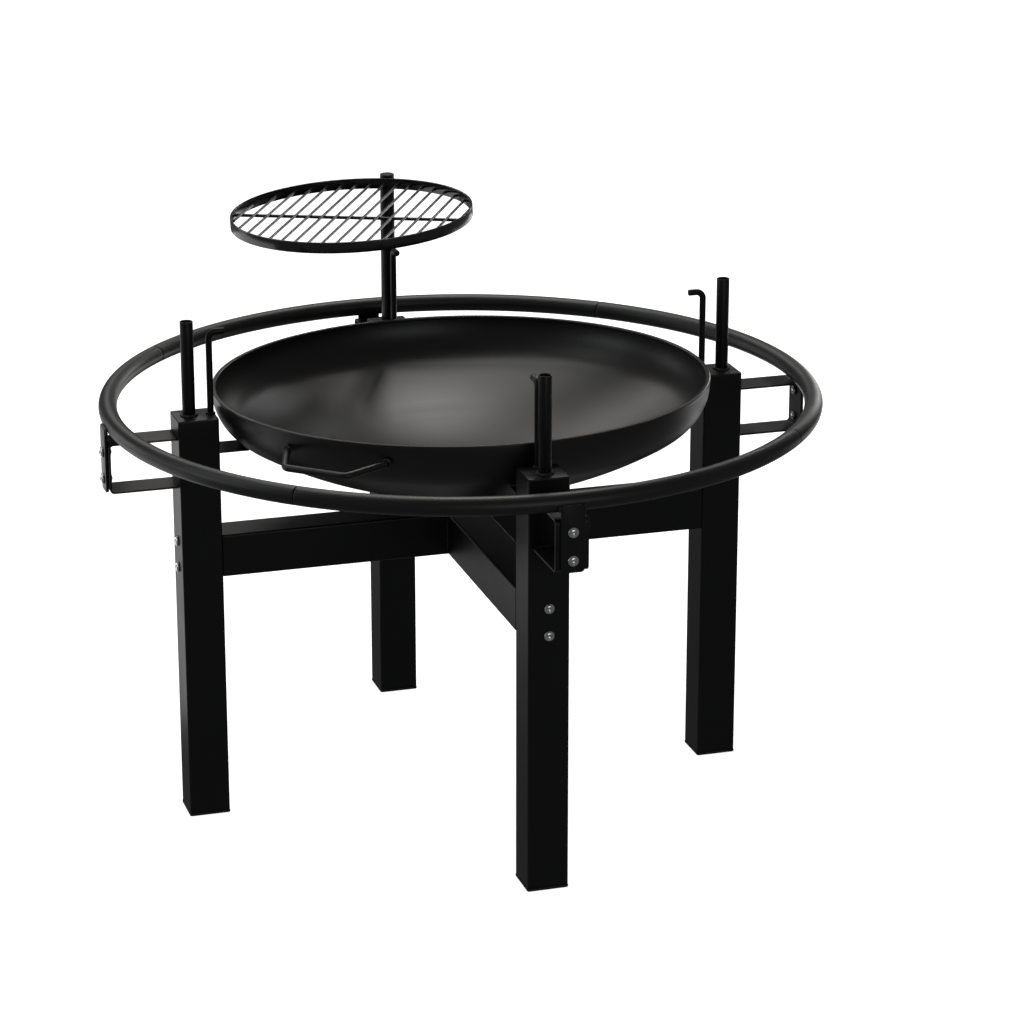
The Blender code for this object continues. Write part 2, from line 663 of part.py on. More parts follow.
def main():
    clear_scene()
    coat = finish_material("black_coat", (0.018, 0.018, 0.019), 0.42, 0.0)
    pan_coat = finish_material("bowl_coat", (0.022, 0.021, 0.021), 0.38, 0.1)
    bar_finish = finish_material("grate_black", (0.015, 0.015, 0.015), 0.35, 0.1)
    rubber = finish_material("foot_plastic", (0.012, 0.012, 0.012), 0.6, 0.0)
    zinc = finish_material("zinc", (0.62, 0.62, 0.63), 0.3, 1.0)
    leg_cutters = build_sides(coat, rubber, zinc)
    build_cross_frame(coat, leg_cutters)
    build_bowl(pan_coat)
    build_grate(coat, rubber, bar_finish)


main()
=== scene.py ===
"""Looks of a garden fire pit.

A dished bowl on square-tube legs, with a round guard rail and a grate that turns on a post. What all four
sides have is worked out once, at the right-hand leg with +X outwards, and turned about Z to the others.
Metres, +Z up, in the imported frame.
"""

import logging
import math
from collections.abc import Iterable, Mapping, Sequence
from dataclasses import dataclass, field
from enum import Enum

import bpy
import numpy as np
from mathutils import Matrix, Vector
from numpy.typing import NDArray


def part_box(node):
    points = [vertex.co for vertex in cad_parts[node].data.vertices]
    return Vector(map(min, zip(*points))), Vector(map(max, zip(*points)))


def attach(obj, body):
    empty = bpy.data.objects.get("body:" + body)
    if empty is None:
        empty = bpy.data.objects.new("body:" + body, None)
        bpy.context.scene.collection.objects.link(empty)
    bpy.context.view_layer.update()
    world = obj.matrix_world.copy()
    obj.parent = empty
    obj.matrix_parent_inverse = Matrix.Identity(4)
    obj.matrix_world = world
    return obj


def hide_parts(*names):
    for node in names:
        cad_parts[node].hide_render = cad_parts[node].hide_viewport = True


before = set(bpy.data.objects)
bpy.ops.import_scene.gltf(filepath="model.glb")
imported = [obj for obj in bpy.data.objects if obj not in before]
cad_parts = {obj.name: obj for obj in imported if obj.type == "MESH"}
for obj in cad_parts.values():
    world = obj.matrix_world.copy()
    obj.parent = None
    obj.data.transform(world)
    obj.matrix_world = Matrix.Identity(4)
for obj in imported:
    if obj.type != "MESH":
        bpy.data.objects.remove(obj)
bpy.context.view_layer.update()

LOG = logging.getLogger("fire_pit")
SHARP_ANGLE = 38.0  # degrees between faces, past which an edge is drawn sharp

Array = NDArray[np.float64]
Colour = tuple[float, float, float]

WHITE = (1.0, 1.0, 1.0)

X_AXIS = np.array([1.0, 0.0, 0.0])
Y_AXIS = np.array([0.0, 1.0, 0.0])
Z_AXIS = np.array([0.0, 0.0, 1.0])


class Side(Enum):
    """The four legs, each with its angle round the pit in degrees."""

    RIGHT = 0.0
    REAR = 90.0
    LEFT = 180.0
    FRONT = 270.0

    @property
    def word(self) -> str:
        """The side's name as the frame's nodes spell it."""
        return self.name.lower()


class Slot(Enum):
    """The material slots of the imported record."""

    BLACK_COAT = "black_coat"
    BOWL_COAT = "bowl_coat"
    GRATE_BLACK = "grate_black"
    ZINC = "zinc"
    FOOT_PLASTIC = "foot_plastic"


class Body(Enum):
    """The bodies that pieces ride on."""

    FRAME = "frame"
    BOWL = "bowl"
    SLEEVE = "grate_sleeve"
    GRATE = "grate"


# ---------------------------------------------------------------- shader maths


class Value:
    """A number that changes over a surface. An operator on it adds a Math node to its graph."""

    def __init__(self, graph: "Graph", socket: bpy.types.NodeSocket) -> None:
        """Wraps one output socket.

        Args:
            graph: The graph that the socket belongs to.
            socket: The output that carries the number.
        """
        self.graph = graph
        self.socket = socket

    def _math(self, operation: str, first: "Value | float", second: "Value | float" = 0.0) -> "Value":
        """Adds one Math node.

        Args:
            operation: The Math node's operation.
            first: Its first input.
            second: Its second input.

        Returns:
            The node's output.
        """
        node = self.graph.node("ShaderNodeMath", {"operation": operation}, {0: first, 1: second})
        return Value(self.graph, node.outputs[0])

    def __add__(self, other: "Value | float") -> "Value":
        """Sum."""
        return self._math("ADD", self, other)

    __radd__ = __add__

    def __sub__(self, other: "Value | float") -> "Value":
        """Difference."""
        return self._math("SUBTRACT", self, other)

    def __rsub__(self, other: float) -> "Value":
        """Difference from a number."""
        return self._math("SUBTRACT", other, self)

    def __mul__(self, other: "Value | float") -> "Value":
        """Product."""
        return self._math("MULTIPLY", self, other)

    __rmul__ = __mul__

    def root(self) -> "Value":
        """Square root."""
        return self._math("SQRT", self)

    def at_most(self, other: float) -> "Value":
        """The value, or the number where that is smaller."""
        return self._math("MINIMUM", self, other)

    def at_least(self, other: float) -> "Value":
        """The value, or the number where that is larger."""
        return self._math("MAXIMUM", self, other)

    def ramp(self, low: float, high: float) -> "Value":
        """Rises smoothly from 0 at low to 1 at high.

        Args:
            low: Where the rise starts.
            high: Where it ends.

        Returns:
            The eased value.
        """
        inputs = {"Value": self, "From Min": low, "From Max": high}
        node = self.graph.node("ShaderNodeMapRange", {"interpolation_type": "SMOOTHSTEP"}, inputs)
        return Value(self.graph, node.outputs["Result"])


class Graph:
    """The node tree of one material, with its Principled shader."""

    def __init__(self, name: str) -> None:
        """Starts a material.

        Args:
            name: The material's name.
        """
        self.material = bpy.data.materials.new(name)
        self.material.use_nodes = True
        self.tree = self.material.node_tree
        self.shader = self.tree.nodes["Principled BSDF"]
        self.place = self.node("ShaderNodeTexCoord", {}, {}).outputs["Object"]

    def node(
        self, kind: str, settings: Mapping[str, object], inputs: Mapping[object, object]
    ) -> bpy.types.Node:
        """Adds any node.

        Args:
            kind: The node's type.
            settings: Its properties, set first.
            inputs: Values or links of its sockets, by name or number.

        Returns:
            The new node.
        """
        node = self.tree.nodes.new(kind)
        for key, value in settings.items():
            setattr(node, key, value)
        for key, value in inputs.items():
            self.feed(node.inputs[key], value)
        return node

    def feed(self, socket: bpy.types.NodeSocket, value: object) -> None:
        """Sets a socket, or links it.

        Args:
            socket: The input.
            value: A number, a vector, a colour, a Value or an output socket.
        """
        if isinstance(value, Value):
            self.tree.links.new(value.socket, socket)
        elif isinstance(value, bpy.types.NodeSocket):
            self.tree.links.new(value, socket)
        elif isinstance(value, tuple) and socket.type == "RGBA":
            socket.default_value = (*value, 1.0)
        else:
            socket.default_value = value

    def noise(self, size: float, detail: float = 2.0, stretch: Colour = (1.0, 1.0, 1.0)) -> Value:
        """Soft noise from 0 to 1.

        Args:
            size: The width of one blotch, in metres.
            detail: How many finer layers it has.
            stretch: How many times longer than that the blotches are along each axis.

        Returns:
            The noise.
        """
        shrink = tuple(1.0 / length for length in stretch)
        place = self.node("ShaderNodeMapping", {}, {"Vector": self.place, "Scale": shrink}).outputs[0]
        inputs = {"Vector": place, "Scale": 1.0 / size, "Detail": detail}
        return Value(self, self.node("ShaderNodeTexNoise", {"noise_dimensions": "3D"}, inputs).outputs[0])

    def crystals(self, size: float) -> Value:
        """A random number from 0 to 1 for each cell of a crystal-like pattern.

        Args:
            size: The width of one cell, in metres.

        Returns:
            The number.
        """
        cells = self.node("ShaderNodeTexVoronoi", {}, {"Vector": self.place, "Scale": 1.0 / size})
        parts = self.node("ShaderNodeSeparateColor", {}, {0: cells.outputs["Color"]})
        return Value(self, parts.outputs[0])

    def edge(self) -> Value:
        """How close a point is to an edge of its piece, from 0 to 1."""
        return Value(self, self.node("ShaderNodeAttribute", {"attribute_name": "edge"}, {}).outputs["Fac"])

    def spun(self, size: float) -> Value:
        """Noise that lies in rings round the upright axis, because it reads only the distance from it.

        Args:
            size: The width of one ring, in metres.

        Returns:
            The noise, from 0 to 1.
        """
        parts = self.node("ShaderNodeSeparateXYZ", {}, {0: self.place})
        across, along = Value(self, parts.outputs[0]), Value(self, parts.outputs[1])
        inputs = {"W": (across * across + along * along).root(), "Scale": 1.0 / size, "Detail": 3.0}
        return Value(self, self.node("ShaderNodeTexNoise", {"noise_dimensions": "1D"}, inputs).outputs[0])

    def blend(self, factor: Value, low: object, high: object) -> bpy.types.NodeSocket:
        """Mixes two colours.

        Args:
            factor: 0 gives the first, 1 the second.
            low: The first colour.
            high: The second colour.

        Returns:
            The mixed colour.
        """
        return self.node("ShaderNodeMix", {"data_type": "RGBA"}, {0: factor, 6: low, 7: high}).outputs[2]

    def bump(self, height: Value, depth: float) -> bpy.types.NodeSocket:
        """A bumped normal.

        Args:
            height: The relief, from 0 to 1.
            depth: How deep 0 to 1 is, in metres.

        Returns:
            The normal.
        """
        return self.node("ShaderNodeBump", {}, {"Height": height, "Distance": depth}).outputs[0]

    def dress(self, **sockets: object) -> bpy.types.Material:
        """Feeds the shader's sockets and hands over the material.

        Args:
            **sockets: The sockets, with _ for a space.

        Returns:
            The finished material.
        """
        for key, value in sockets.items():
            self.feed(self.shader.inputs[key.replace("_", " ")], value)
        return self.material


# ---------------------------------------------------------------- finishes


@dataclass(frozen=True)
class PowderCoat:
    """Baked powder on steel: pebbled, thinner and lighter along edges, with a few long handling marks."""

    name: str
    colour: Colour = (0.0050, 0.0052, 0.0058)
    thin: Colour = (0.020, 0.020, 0.021)
    gloss: float = 0.40
    shine: float = 0.30
    pebble: float = 0.0016
    relief: float = 0.00005

    def material(self) -> bpy.types.Material:
        """Builds the coat's material.

        Returns:
            The powder coat.
        """
        graph = Graph(self.name)
        broad = graph.noise(0.09, 3.0)
        pebble = graph.noise(self.pebble)
        speck = graph.noise(0.0004, 1.0)
        scuff = graph.noise(0.0011, 2.0, (1.0, 1.0, 9.0)).ramp(0.64, 0.74) * graph.noise(0.05).ramp(0.52, 0.7)
        thin = (graph.edge() * (graph.noise(0.012, 4.0) * 0.9 + 0.3)).ramp(0.3, 1.0)
        tone = (thin * 0.3 + scuff * 0.35 + (broad - 0.5) * 0.2 + speck * 0.12).at_least(0.0)
        return graph.dress(
            Base_Color=graph.blend(tone, self.colour, self.thin),
            Roughness=self.gloss + (broad - 0.5) * 0.1 + (speck - 0.5) * 0.06 - thin * 0.08 + scuff * 0.1,
            Specular_IOR_Level=self.shine,
            Normal=graph.bump(pebble + speck * 0.35, self.relief),
        )


@dataclass(frozen=True)
class HeatPaint:
    """Heat-proof paint on a spun pan: faint rings from the spinning and a slightly cloudy, warm sheen."""

    name: str
    colour: Colour = (0.0075, 0.0072, 0.0070)
    cloud: Colour = (0.018, 0.017, 0.0165)
    gloss: float = 0.38
    shine: float = 0.50

    def material(self) -> bpy.types.Material:
        """Builds the paint's material.

        Returns:
            The heat-proof paint.
        """
        graph = Graph(self.name)
        rings = graph.spun(0.0035)
        cloud = graph.noise(0.12, 4.0)
        speck = graph.noise(0.0006)
        thin = graph.edge() * (graph.noise(0.01, 3.0) * 0.6 + 0.4)
        tone = ((cloud - 0.35) * 0.5 + (rings - 0.5) * 0.2 + thin * 0.9).at_least(0.0)
        rough = self.gloss + (cloud - 0.5) * 0.08 + (graph.spun(0.03) - 0.5) * 0.05 + (rings - 0.5) * 0.04
        return graph.dress(
            Base_Color=graph.blend(tone, self.colour, self.cloud),
            Roughness=rough - thin * 0.1,
            Specular_IOR_Level=self.shine,
            Normal=graph.bump(speck * 0.6 + rings * 0.4, 0.00003),
        )


@dataclass(frozen=True)
class GlossBlack:
    """Hard glossy black of the grate: close to a mirror, with fine drawing lines and small dull spots."""

    name: str
    colour: Colour = (0.005, 0.005, 0.0052)
    dull: Colour = (0.03, 0.029, 0.028)
    gloss: float = 0.15
    shine: float = 0.8

    def material(self) -> bpy.types.Material:
        """Builds the gloss's material.

        Returns:
            The gloss.
        """
        graph = Graph(self.name)
        spot = graph.noise(0.006, 4.0).ramp(0.58, 0.75)
        drawn = graph.noise(0.0005)
        thin = graph.edge() * (graph.noise(0.004) * 0.8 + 0.2)
        return graph.dress(
            Base_Color=graph.blend((spot * 0.35 + thin * 0.6).at_most(1.0), self.colour, self.dull),
            Roughness=self.gloss + spot * 0.14 + (drawn - 0.5) * 0.05 + thin * 0.06,
            Specular_IOR_Level=self.shine,
            Normal=graph.bump(graph.noise(0.02, 1.0) * 0.7 + drawn * 0.1, 0.00012),
        )


@dataclass(frozen=True)
class ZincPlate:
    """Bright zinc plate: cool, slightly cloudy metal with a fine crystal figure."""

    name: str
    colour: Colour = (0.78, 0.79, 0.80)
    dull: Colour = (0.48, 0.49, 0.51)

    def material(self) -> bpy.types.Material:
        """Builds the plate's material.

        Returns:
            The zinc.
        """
        graph = Graph(self.name)
        figure = graph.crystals(0.0012)
        cloud = graph.noise(0.004, 3.0)
        tone = (cloud - 0.45).at_least(0.0) * 1.6 + figure * 0.12
        return graph.dress(
            Base_Color=graph.blend(tone, self.colour, self.dull),
            Metallic=1.0,
            Roughness=0.08 + figure * 0.06 + cloud * 0.08,
            Normal=graph.bump(graph.noise(0.0006), 0.00002),
        )


@dataclass(frozen=True)
class MouldedPlastic:
    """Moulded black plastic with a fine spark-eroded grain."""

    name: str
    colour: Colour = (0.008, 0.008, 0.0085)
    rubbed: Colour = (0.028, 0.028, 0.028)

    def material(self) -> bpy.types.Material:
        """Builds the plastic's material.

        Returns:
            The plastic.
        """
        graph = Graph(self.name)
        grain = graph.noise(0.0007, 3.0)
        worn = graph.edge() * graph.noise(0.01, 3.0)
        return graph.dress(
            Base_Color=graph.blend(worn * 0.8 + grain * 0.1, self.colour, self.rubbed),
            Roughness=0.5 + (grain - 0.5) * 0.2,
            Specular_IOR_Level=0.4,
            Normal=graph.bump(grain, 0.00008),
        )


class Finishes:
    """Every finish of the fire pit, made once."""

    def __init__(self) -> None:
        """Makes the materials."""
        rail = PowderCoat("rail_powder_coat", (0.0095, 0.0095, 0.0102), gloss=0.42, shine=0.5)
        weld = PowderCoat("coated_weld", (0.009, 0.009, 0.0095), gloss=0.30, shine=0.5, pebble=0.0009)
        bars = GlossBlack("bar_gloss", (0.014, 0.014, 0.0145), (0.05, 0.05, 0.05), gloss=0.28)
        self.coat = PowderCoat("black_powder_coat").material()
        self.rail = rail.material()
        self.weld = weld.material()
        self.bowl = HeatPaint("heat_paint").material()
        self.gloss = GlossBlack("grate_gloss").material()
        self.bars = bars.material()
        self.zinc = ZincPlate("zinc_plate").material()
        self.plastic = MouldedPlastic("moulded_plastic").material()


# ---------------------------------------------------------------- surfaces


@dataclass
class Shell:
    """One closed surface: points, four-sided faces, end faces, and how near an edge each point is."""

    points: Array
    quads: NDArray[np.int64]
    caps: list[NDArray[np.int64]]
    edge: Array

    def outward(self) -> "Shell":
        """The same shell facing outwards, told by the sum of its triangles' triple products.

        Returns:
            The shell, facing outwards.
        """
        fans = [self.quads[:, [0, 1, 2]], self.quads[:, [0, 2, 3]]]
        fans += [np.stack([np.full(len(cap) - 2, cap[0]), cap[1:-1], cap[2:]], 1) for cap in self.caps]
        corners = self.points[np.concatenate(fans)] - self.points.mean(0)
        if np.linalg.det(corners).sum() >= 0:
            return self
        return Shell(self.points, self.quads[:, ::-1], [cap[::-1] for cap in self.caps], self.edge)

    def moved(self, turn: Array, shift: Sequence[float] | Array = (0.0, 0.0, 0.0)) -> "Shell":
        """The same shell turned by a matrix and then shifted.

        Args:
            turn: A 3 by 3 rotation.
            shift: The shift after it.

        Returns:
            The moved shell.
        """
        return Shell(self.points @ turn.T + np.asarray(shift), self.quads, self.caps, self.edge)


def unit(vectors: Array) -> Array:
    """The vectors at length one."""
    return vectors / np.linalg.norm(vectors, axis=-1, keepdims=True)


def turn_about(axis: Array, degrees: float) -> Array:
    """The rotation about an axis: the identity, plus the sine of the angle times the axis's cross-product
    matrix, plus one minus the cosine times that matrix squared.

    Args:
        axis: A unit vector.
        degrees: The angle.

    Returns:
        A 3 by 3 matrix.
    """
    x, y, z = axis
    cross = np.array([[0.0, -z, y], [z, 0.0, -x], [-y, x, 0.0]])
    angle = math.radians(degrees)
    return np.eye(3) + math.sin(angle) * cross + (1.0 - math.cos(angle)) * cross @ cross


def skin(rows: Array, edge: Array | float = 0.0, looped: bool = False) -> Shell:
    """A closed surface from rings of points: point (i, j) is joined to (i, j+1), (i+1, j+1) and (i+1, j).

    Args:
        rows: The rings, as an array of rows, columns and coordinates.
        edge: How near an edge each point is.
        looped: Whether the last ring joins the first, instead of both being filled in.

    Returns:
        The shell, facing outwards.
    """
    count, around = rows.shape[:2]
    index = np.arange(count * around).reshape(count, around)
    lower = index if looped else index[:-1]
    upper = np.roll(index, -1, 0) if looped else index[1:]
    quads = np.stack([lower, np.roll(lower, -1, 1), np.roll(upper, -1, 1), upper], -1).reshape(-1, 4)
    caps = [] if looped else [index[0][::-1], index[-1]]
    near = np.broadcast_to(edge, (count, around)).reshape(-1).astype(float)
    return Shell(rows.reshape(-1, 3), quads, caps, near).outward()


def revolve(profile: Array, steps: int, edge: Array | float = 0.0, looped: bool = False) -> Shell:
    """A turned surface: profile point (r, z) becomes (r cos a, r sin a, z) for angles a round the axis.

    Args:
        profile: Points of radius and height.
        steps: How many angles.
        edge: How near an edge each profile point is.
        looped: Whether the profile closes on itself.

    Returns:
        The shell.
    """
    angle = np.linspace(0.0, math.tau, steps, endpoint=False)
    radius, height = profile[:, :1], profile[:, 1:]
    rows = np.stack([radius * np.cos(angle), radius * np.sin(angle), height + 0.0 * angle], -1)
    return skin(rows, edge if np.isscalar(edge) else np.asarray(edge)[:, None], looped)


def arc(middle: Sequence[float], radius: float, start: float, end: float, steps: int) -> Array:
    """Points on a circle: middle + radius (cos a, sin a), with a from start to end.

    Args:
        middle: The circle's middle.
        radius: Its radius.
        start: The first angle, in degrees.
        end: The last angle, in degrees.
        steps: How many stretches.

    Returns:
        The points.
    """
    angle = np.radians(np.linspace(start, end, steps + 1))
    return np.asarray(middle) + radius * np.stack([np.cos(angle), np.sin(angle)], 1)


def rounded(corners: Sequence[Sequence[float]], bend: float, steps: int, looped: bool = False) -> Array:
    """A path through corners with an arc of one radius at each. The arc's middle m lies on the corner's
    bisector, and its points are m + (start sin(w - a) + end sin a) / sin w, for a from 0 to the whole turn w.

    Args:
        corners: The corner points.
        bend: The arcs' radius.
        steps: How many stretches each arc has.
        looped: Whether the path closes on itself, so that its first and last corners are rounded too.

    Returns:
        The path's points.
    """
    points = np.asarray(corners, float)
    inner = points if looped else points[1:-1]
    before = np.roll(points, 1, 0) if looped else points[:-2]
    after = np.roll(points, -1, 0) if looped else points[2:]
    back, ahead = unit(before - inner), unit(after - inner)
    half = np.arccos((back * ahead).sum(1, keepdims=True)) / 2.0
    middle = inner + unit(back + ahead) * bend / np.sin(half)
    start = inner + back * bend / np.tan(half) - middle
    end = inner + ahead * bend / np.tan(half) - middle
    whole = (math.pi - 2.0 * half)[:, None]
    turned = np.linspace(0.0, 1.0, steps + 1)[None, :, None] * whole
    spokes = start[:, None] * np.sin(whole - turned) + end[:, None] * np.sin(turned)
    arcs = middle[:, None] + spokes / np.sin(whole)
    arcs = arcs.reshape(-1, points.shape[1])
    return arcs if looped else np.concatenate([points[:1], arcs, points[-1:]])


@dataclass(frozen=True)
class Flat:
    """A rectangular section with round corners, for tube and strip. Its width lies along a sweep's side."""

    width: float
    height: float
    corner: float
    steps: int = 3
    margins: tuple[float, ...] = (0.0006, 0.004)

    def outlines(self, inset: Array) -> tuple[Array, Array]:
        """One outline for each inset. A corner's points are its middle + radius (cos a, sin a). On the flats
        beside it lie points at each margin, so that shading and wear stay close to the edge.

        Args:
            inset: How far each outline is drawn in.

        Returns:
            The outlines' points, and how near a corner each column of them is.
        """
        angle = math.tau / 4 * (np.arange(4)[:, None] + np.linspace(0.0, 1.0, self.steps + 1))
        way = np.stack([np.cos(angle), np.sin(angle)], -1)
        drawn = inset[:, None, None, None]
        corner = np.maximum(self.corner - drawn, 0.2 * self.corner)
        half = np.array([self.width / 2, self.height / 2]) - drawn
        signs = np.array([[1, 1], [-1, 1], [-1, -1], [1, -1]])[:, None]
        arcs = signs * (half - corner) + corner * way
        tangent = np.stack([-way[..., 1], way[..., 0]], -1)
        room = min(self.width, self.height) / 2 - self.corner
        margins = np.array([margin for margin in self.margins if margin < 0.9 * room])
        before = arcs[:, :, :1] - margins[::-1, None] * tangent[:, :1]
        after = arcs[:, :, -1:] + margins[:, None] * tangent[:, -1:]
        fade = np.linspace(1.0, 0.0, len(margins) + 1)[1:]
        near = np.tile(np.concatenate([fade[::-1], np.ones(self.steps + 1), fade]), 4)
        return np.concatenate([before, arcs, after], 2).reshape(len(inset), -1, 2), near


@dataclass(frozen=True)
class Round:
    """A round section."""

    radius: float
    around: int = 24

    def outlines(self, inset: Array) -> tuple[Array, Array]:
        """One circle for each inset: (radius - inset) (cos a, sin a).

        Args:
            inset: How far each circle is drawn in.

        Returns:
            The circles' points, and zeros, because a round section has no corner.
        """
        angle = np.linspace(0.0, math.tau, self.around, endpoint=False)
        way = np.stack([np.cos(angle), np.sin(angle)], -1)
        return (self.radius - inset)[:, None, None] * way, np.zeros(self.around)


def sweep(
    section: Flat | Round, path: Array, side: Array, nose: float = 0.0008, margin: float = 0.004
) -> Shell:
    """Carries a section along a flat path: p + u side + v across, where across is side x tangent. Each end is
    rounded by drawing the section in along a quarter circle.

    Args:
        section: The section, whose u lies along side.
        path: The path's points.
        side: A unit vector square to the path's plane.
        nose: The radius of the rounding at both ends.
        margin: How far behind an end its wear fades out.

    Returns:
        The shell.
    """
    way = unit(np.diff(path, axis=0))
    tangent = unit(np.concatenate([way[:1], way[:-1] + way[1:], way[-1:]]))
    turn = np.radians(np.linspace(0.0, 90.0, 4))
    back = np.append(nose * (1 - np.cos(turn)), margin)
    drawn = np.append(nose * (1 - np.sin(turn)), 0.0)
    worn = np.append(np.ones(4), 0.0)
    start = path[0] + back[:, None] * way[0]
    end = path[-1] - back[::-1, None] * way[-1]
    between = len(path) - 2
    places = np.concatenate([start, path[1:-1], end])
    ways = np.concatenate([np.tile(way[0], (5, 1)), tangent[1:-1], np.tile(way[-1], (5, 1))])
    inset = np.concatenate([drawn, np.zeros(between), drawn[::-1]])
    outline, near = section.outlines(inset)
    across = np.cross(side, ways)[:, None]
    rows = places[:, None] + outline[..., :1] * side + outline[..., 1:] * across
    ends = np.concatenate([worn, np.zeros(between), worn[::-1]])
    return skin(rows, np.maximum(ends[:, None], near))


def bead(path: Array, side: Array, radius: float, looped: bool = False, ripple: float = 0.0022) -> Shell:
    """A weld bead: a round section along a path. Its radius is r (0.82 + 0.3 |sin(pi s / ripple)| + 0.12 sin
    of a slower wave), where s is the length so far. An open bead's radius also falls to nothing at both ends.

    Args:
        path: The path's points.
        side: A unit vector square to the path's plane.
        radius: The bead's radius.
        looped: Whether the path closes on itself.
        ripple: The length of one ripple.

    Returns:
        The shell.
    """
    closed = np.concatenate([path, path[:1]]) if looped else path
    length = np.concatenate([[0.0], np.cumsum(np.linalg.norm(np.diff(closed, axis=0), axis=1))])
    count = max(int(length[-1] / ripple * 6), 12)
    run = np.linspace(0.0, length[-1], count + 1)
    run = run[:-1] if looped else run
    places = np.stack([np.interp(run, length, closed[:, k]) for k in range(3)], 1)
    waves = round(length[-1] / ripple)
    share = run / length[-1]
    ripples = np.abs(np.sin(math.pi * waves * share))
    wander = np.sin(math.tau * 3 * share + 40 * radius)
    swell = 0.82 + 0.3 * ripples + 0.12 * wander
    if not looped:
        swell *= np.sqrt(np.clip(1.02 - (2 * share - 1) ** 6, 0.02, 1.0))
    ahead = np.roll(places, -1, 0) - np.roll(places, 1, 0) if looped else np.gradient(places, axis=0)
    across = np.cross(side, unit(ahead))[:, None]
    turn = np.linspace(0.0, math.tau, 10, endpoint=False)[:, None]
    reach = (radius * swell)[:, None, None]
    rows = places[:, None] + reach * (np.cos(turn) * side + np.sin(turn) * across)
    return skin(rows, 0.35, looped)


def bead_ring(middle: Array, axis_radius: float, radius: float, ripple: float = 0.0022) -> Shell:
    """A weld bead round an upright tube: its path is middle + axis_radius (cos a, sin a, 0).

    Args:
        middle: The ring's middle.
        axis_radius: The path's radius.
        radius: The bead's radius.
        ripple: The length of one ripple.

    Returns:
        The shell.
    """
    circle = arc((0.0, 0.0), axis_radius, 0.0, 360.0, 48)[:-1]
    path = np.asarray(middle) + np.column_stack([circle, np.zeros(len(circle))])
    return bead(path, Z_AXIS, radius, looped=True, ripple=ripple)


def line(start: Sequence[float], end: Sequence[float]) -> Array:
    """A straight path of two points."""
    return np.array([start, end], float)


def assemble(
    name: str, shells: Iterable[Shell], material: bpy.types.Material, body: Body, slot: Slot, *nodes: str
) -> bpy.types.Object:
    """Puts shells into one mesh, dresses it and ties it to its body.

    Args:
        name: The piece's name.
        shells: Its closed surfaces, in the frame's metres.
        material: Its finish.
        body: What it moves with.
        slot: The record's material slot; not used.
        *nodes: The CAD nodes that it stands for.

    Returns:
        The piece.
    """
    parts = list(shells)
    starts = np.cumsum([0] + [len(part.points) for part in parts])
    faces: list[list[int]] = []
    for part, start in zip(parts, starts):
        faces += (part.quads + start).tolist() + [(cap + start).tolist() for cap in part.caps]
    mesh = bpy.data.meshes.new(name)
    mesh.from_pydata(np.concatenate([part.points for part in parts]).tolist(), [], faces)
    mesh.materials.append(material)
    near = np.concatenate([part.edge for part in parts]).astype(np.float32)
    mesh.attributes.new("edge", "FLOAT", "POINT").data.foreach_set("value", near)
    mesh.shade_smooth()
    mesh.set_sharp_from_angle(angle=math.radians(SHARP_ANGLE))
    piece = bpy.data.objects.new(name, mesh)
    bpy.context.scene.collection.objects.link(piece)
    if nodes:
        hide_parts(*nodes)
    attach(piece, body.value)
    LOG.info("%s: %d shells, %d faces, rides on %s", name, len(parts), len(faces), body.value)
    return piece


def node_box(node: str) -> tuple[Array, Array]:
    """A CAD node's lowest and highest corners as arrays."""
    low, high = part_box(node)
    return np.array(low), np.array(high)


# ---------------------------------------------------------------- sub-assemblies


class SidePart:
    """Something that all four sides have, built at the right-hand leg."""

    def turned(self, shells: Iterable[Shell], side: Side) -> list[Shell]:
        """The right-hand leg's shells turned to a side.

        Args:
            shells: The shells at the right-hand leg.
            side: The side they go to.

        Returns:
            The turned shells.
        """
        turn = turn_about(Z_AXIS, side.value)
        return [shell.moved(turn) for shell in shells]


@dataclass
class Leg(SidePart):
    """A leg of square tube with a closed top, and the plastic foot that plugs into it."""

    corner: float = 0.003
    top_edge: float = 0.0014
    plug_inset: float = 0.0024
    foot_corner: float = 0.0035
    foot_plate: float = 0.004

    def tube(self) -> Shell:
        """The square tube, with rounded long edges.

        Returns:
            The tube's shell.
        """
        low, high = node_box("leg_right")
        middle, size = (low + high) / 2, high - low
        section = Flat(size[1], size[0], self.corner, steps=4)
        path = line((middle[0], 0.0, low[2]), (middle[0], 0.0, high[2]))
        return sweep(section, path, Y_AXIS, self.top_edge)

    def foot(self) -> list[Shell]:
        """The plate under the tube and the plug inside it.

        Returns:
            The plate's shell and the plug's.
        """
        low, high = node_box("foot_right")
        middle, size = (low + high) / 2, high - low
        plate = Flat(size[1], size[0], self.foot_corner)
        plug = Flat(size[1] - 2 * self.plug_inset, size[0] - 2 * self.plug_inset, 0.001)
        bottom, seam, top = low[2], low[2] + self.foot_plate, high[2]
        return [
            sweep(plate, line((middle[0], 0.0, bottom), (middle[0], 0.0, seam)), Y_AXIS, 0.0009, 0.002),
            sweep(plug, line((middle[0], 0.0, seam - 0.001), (middle[0], 0.0, top)), Y_AXIS, 0.001),
        ]

    def build(self, finishes: Finishes) -> None:
        """Builds all four legs and feet.

        Args:
            finishes: Where the materials come from.
        """
        tube, foot = self.tube(), self.foot()
        for side in Side:
            word = side.word
            shells = self.turned([tube], side)
            assemble(f"leg_{word}_tube", shells, finishes.coat, Body.FRAME, Slot.BLACK_COAT, f"leg_{word}")
            shells = self.turned(foot, side)
            name = f"foot_{word}_cap"
            assemble(name, shells, finishes.plastic, Body.FRAME, Slot.FOOT_PLASTIC, f"foot_{word}")


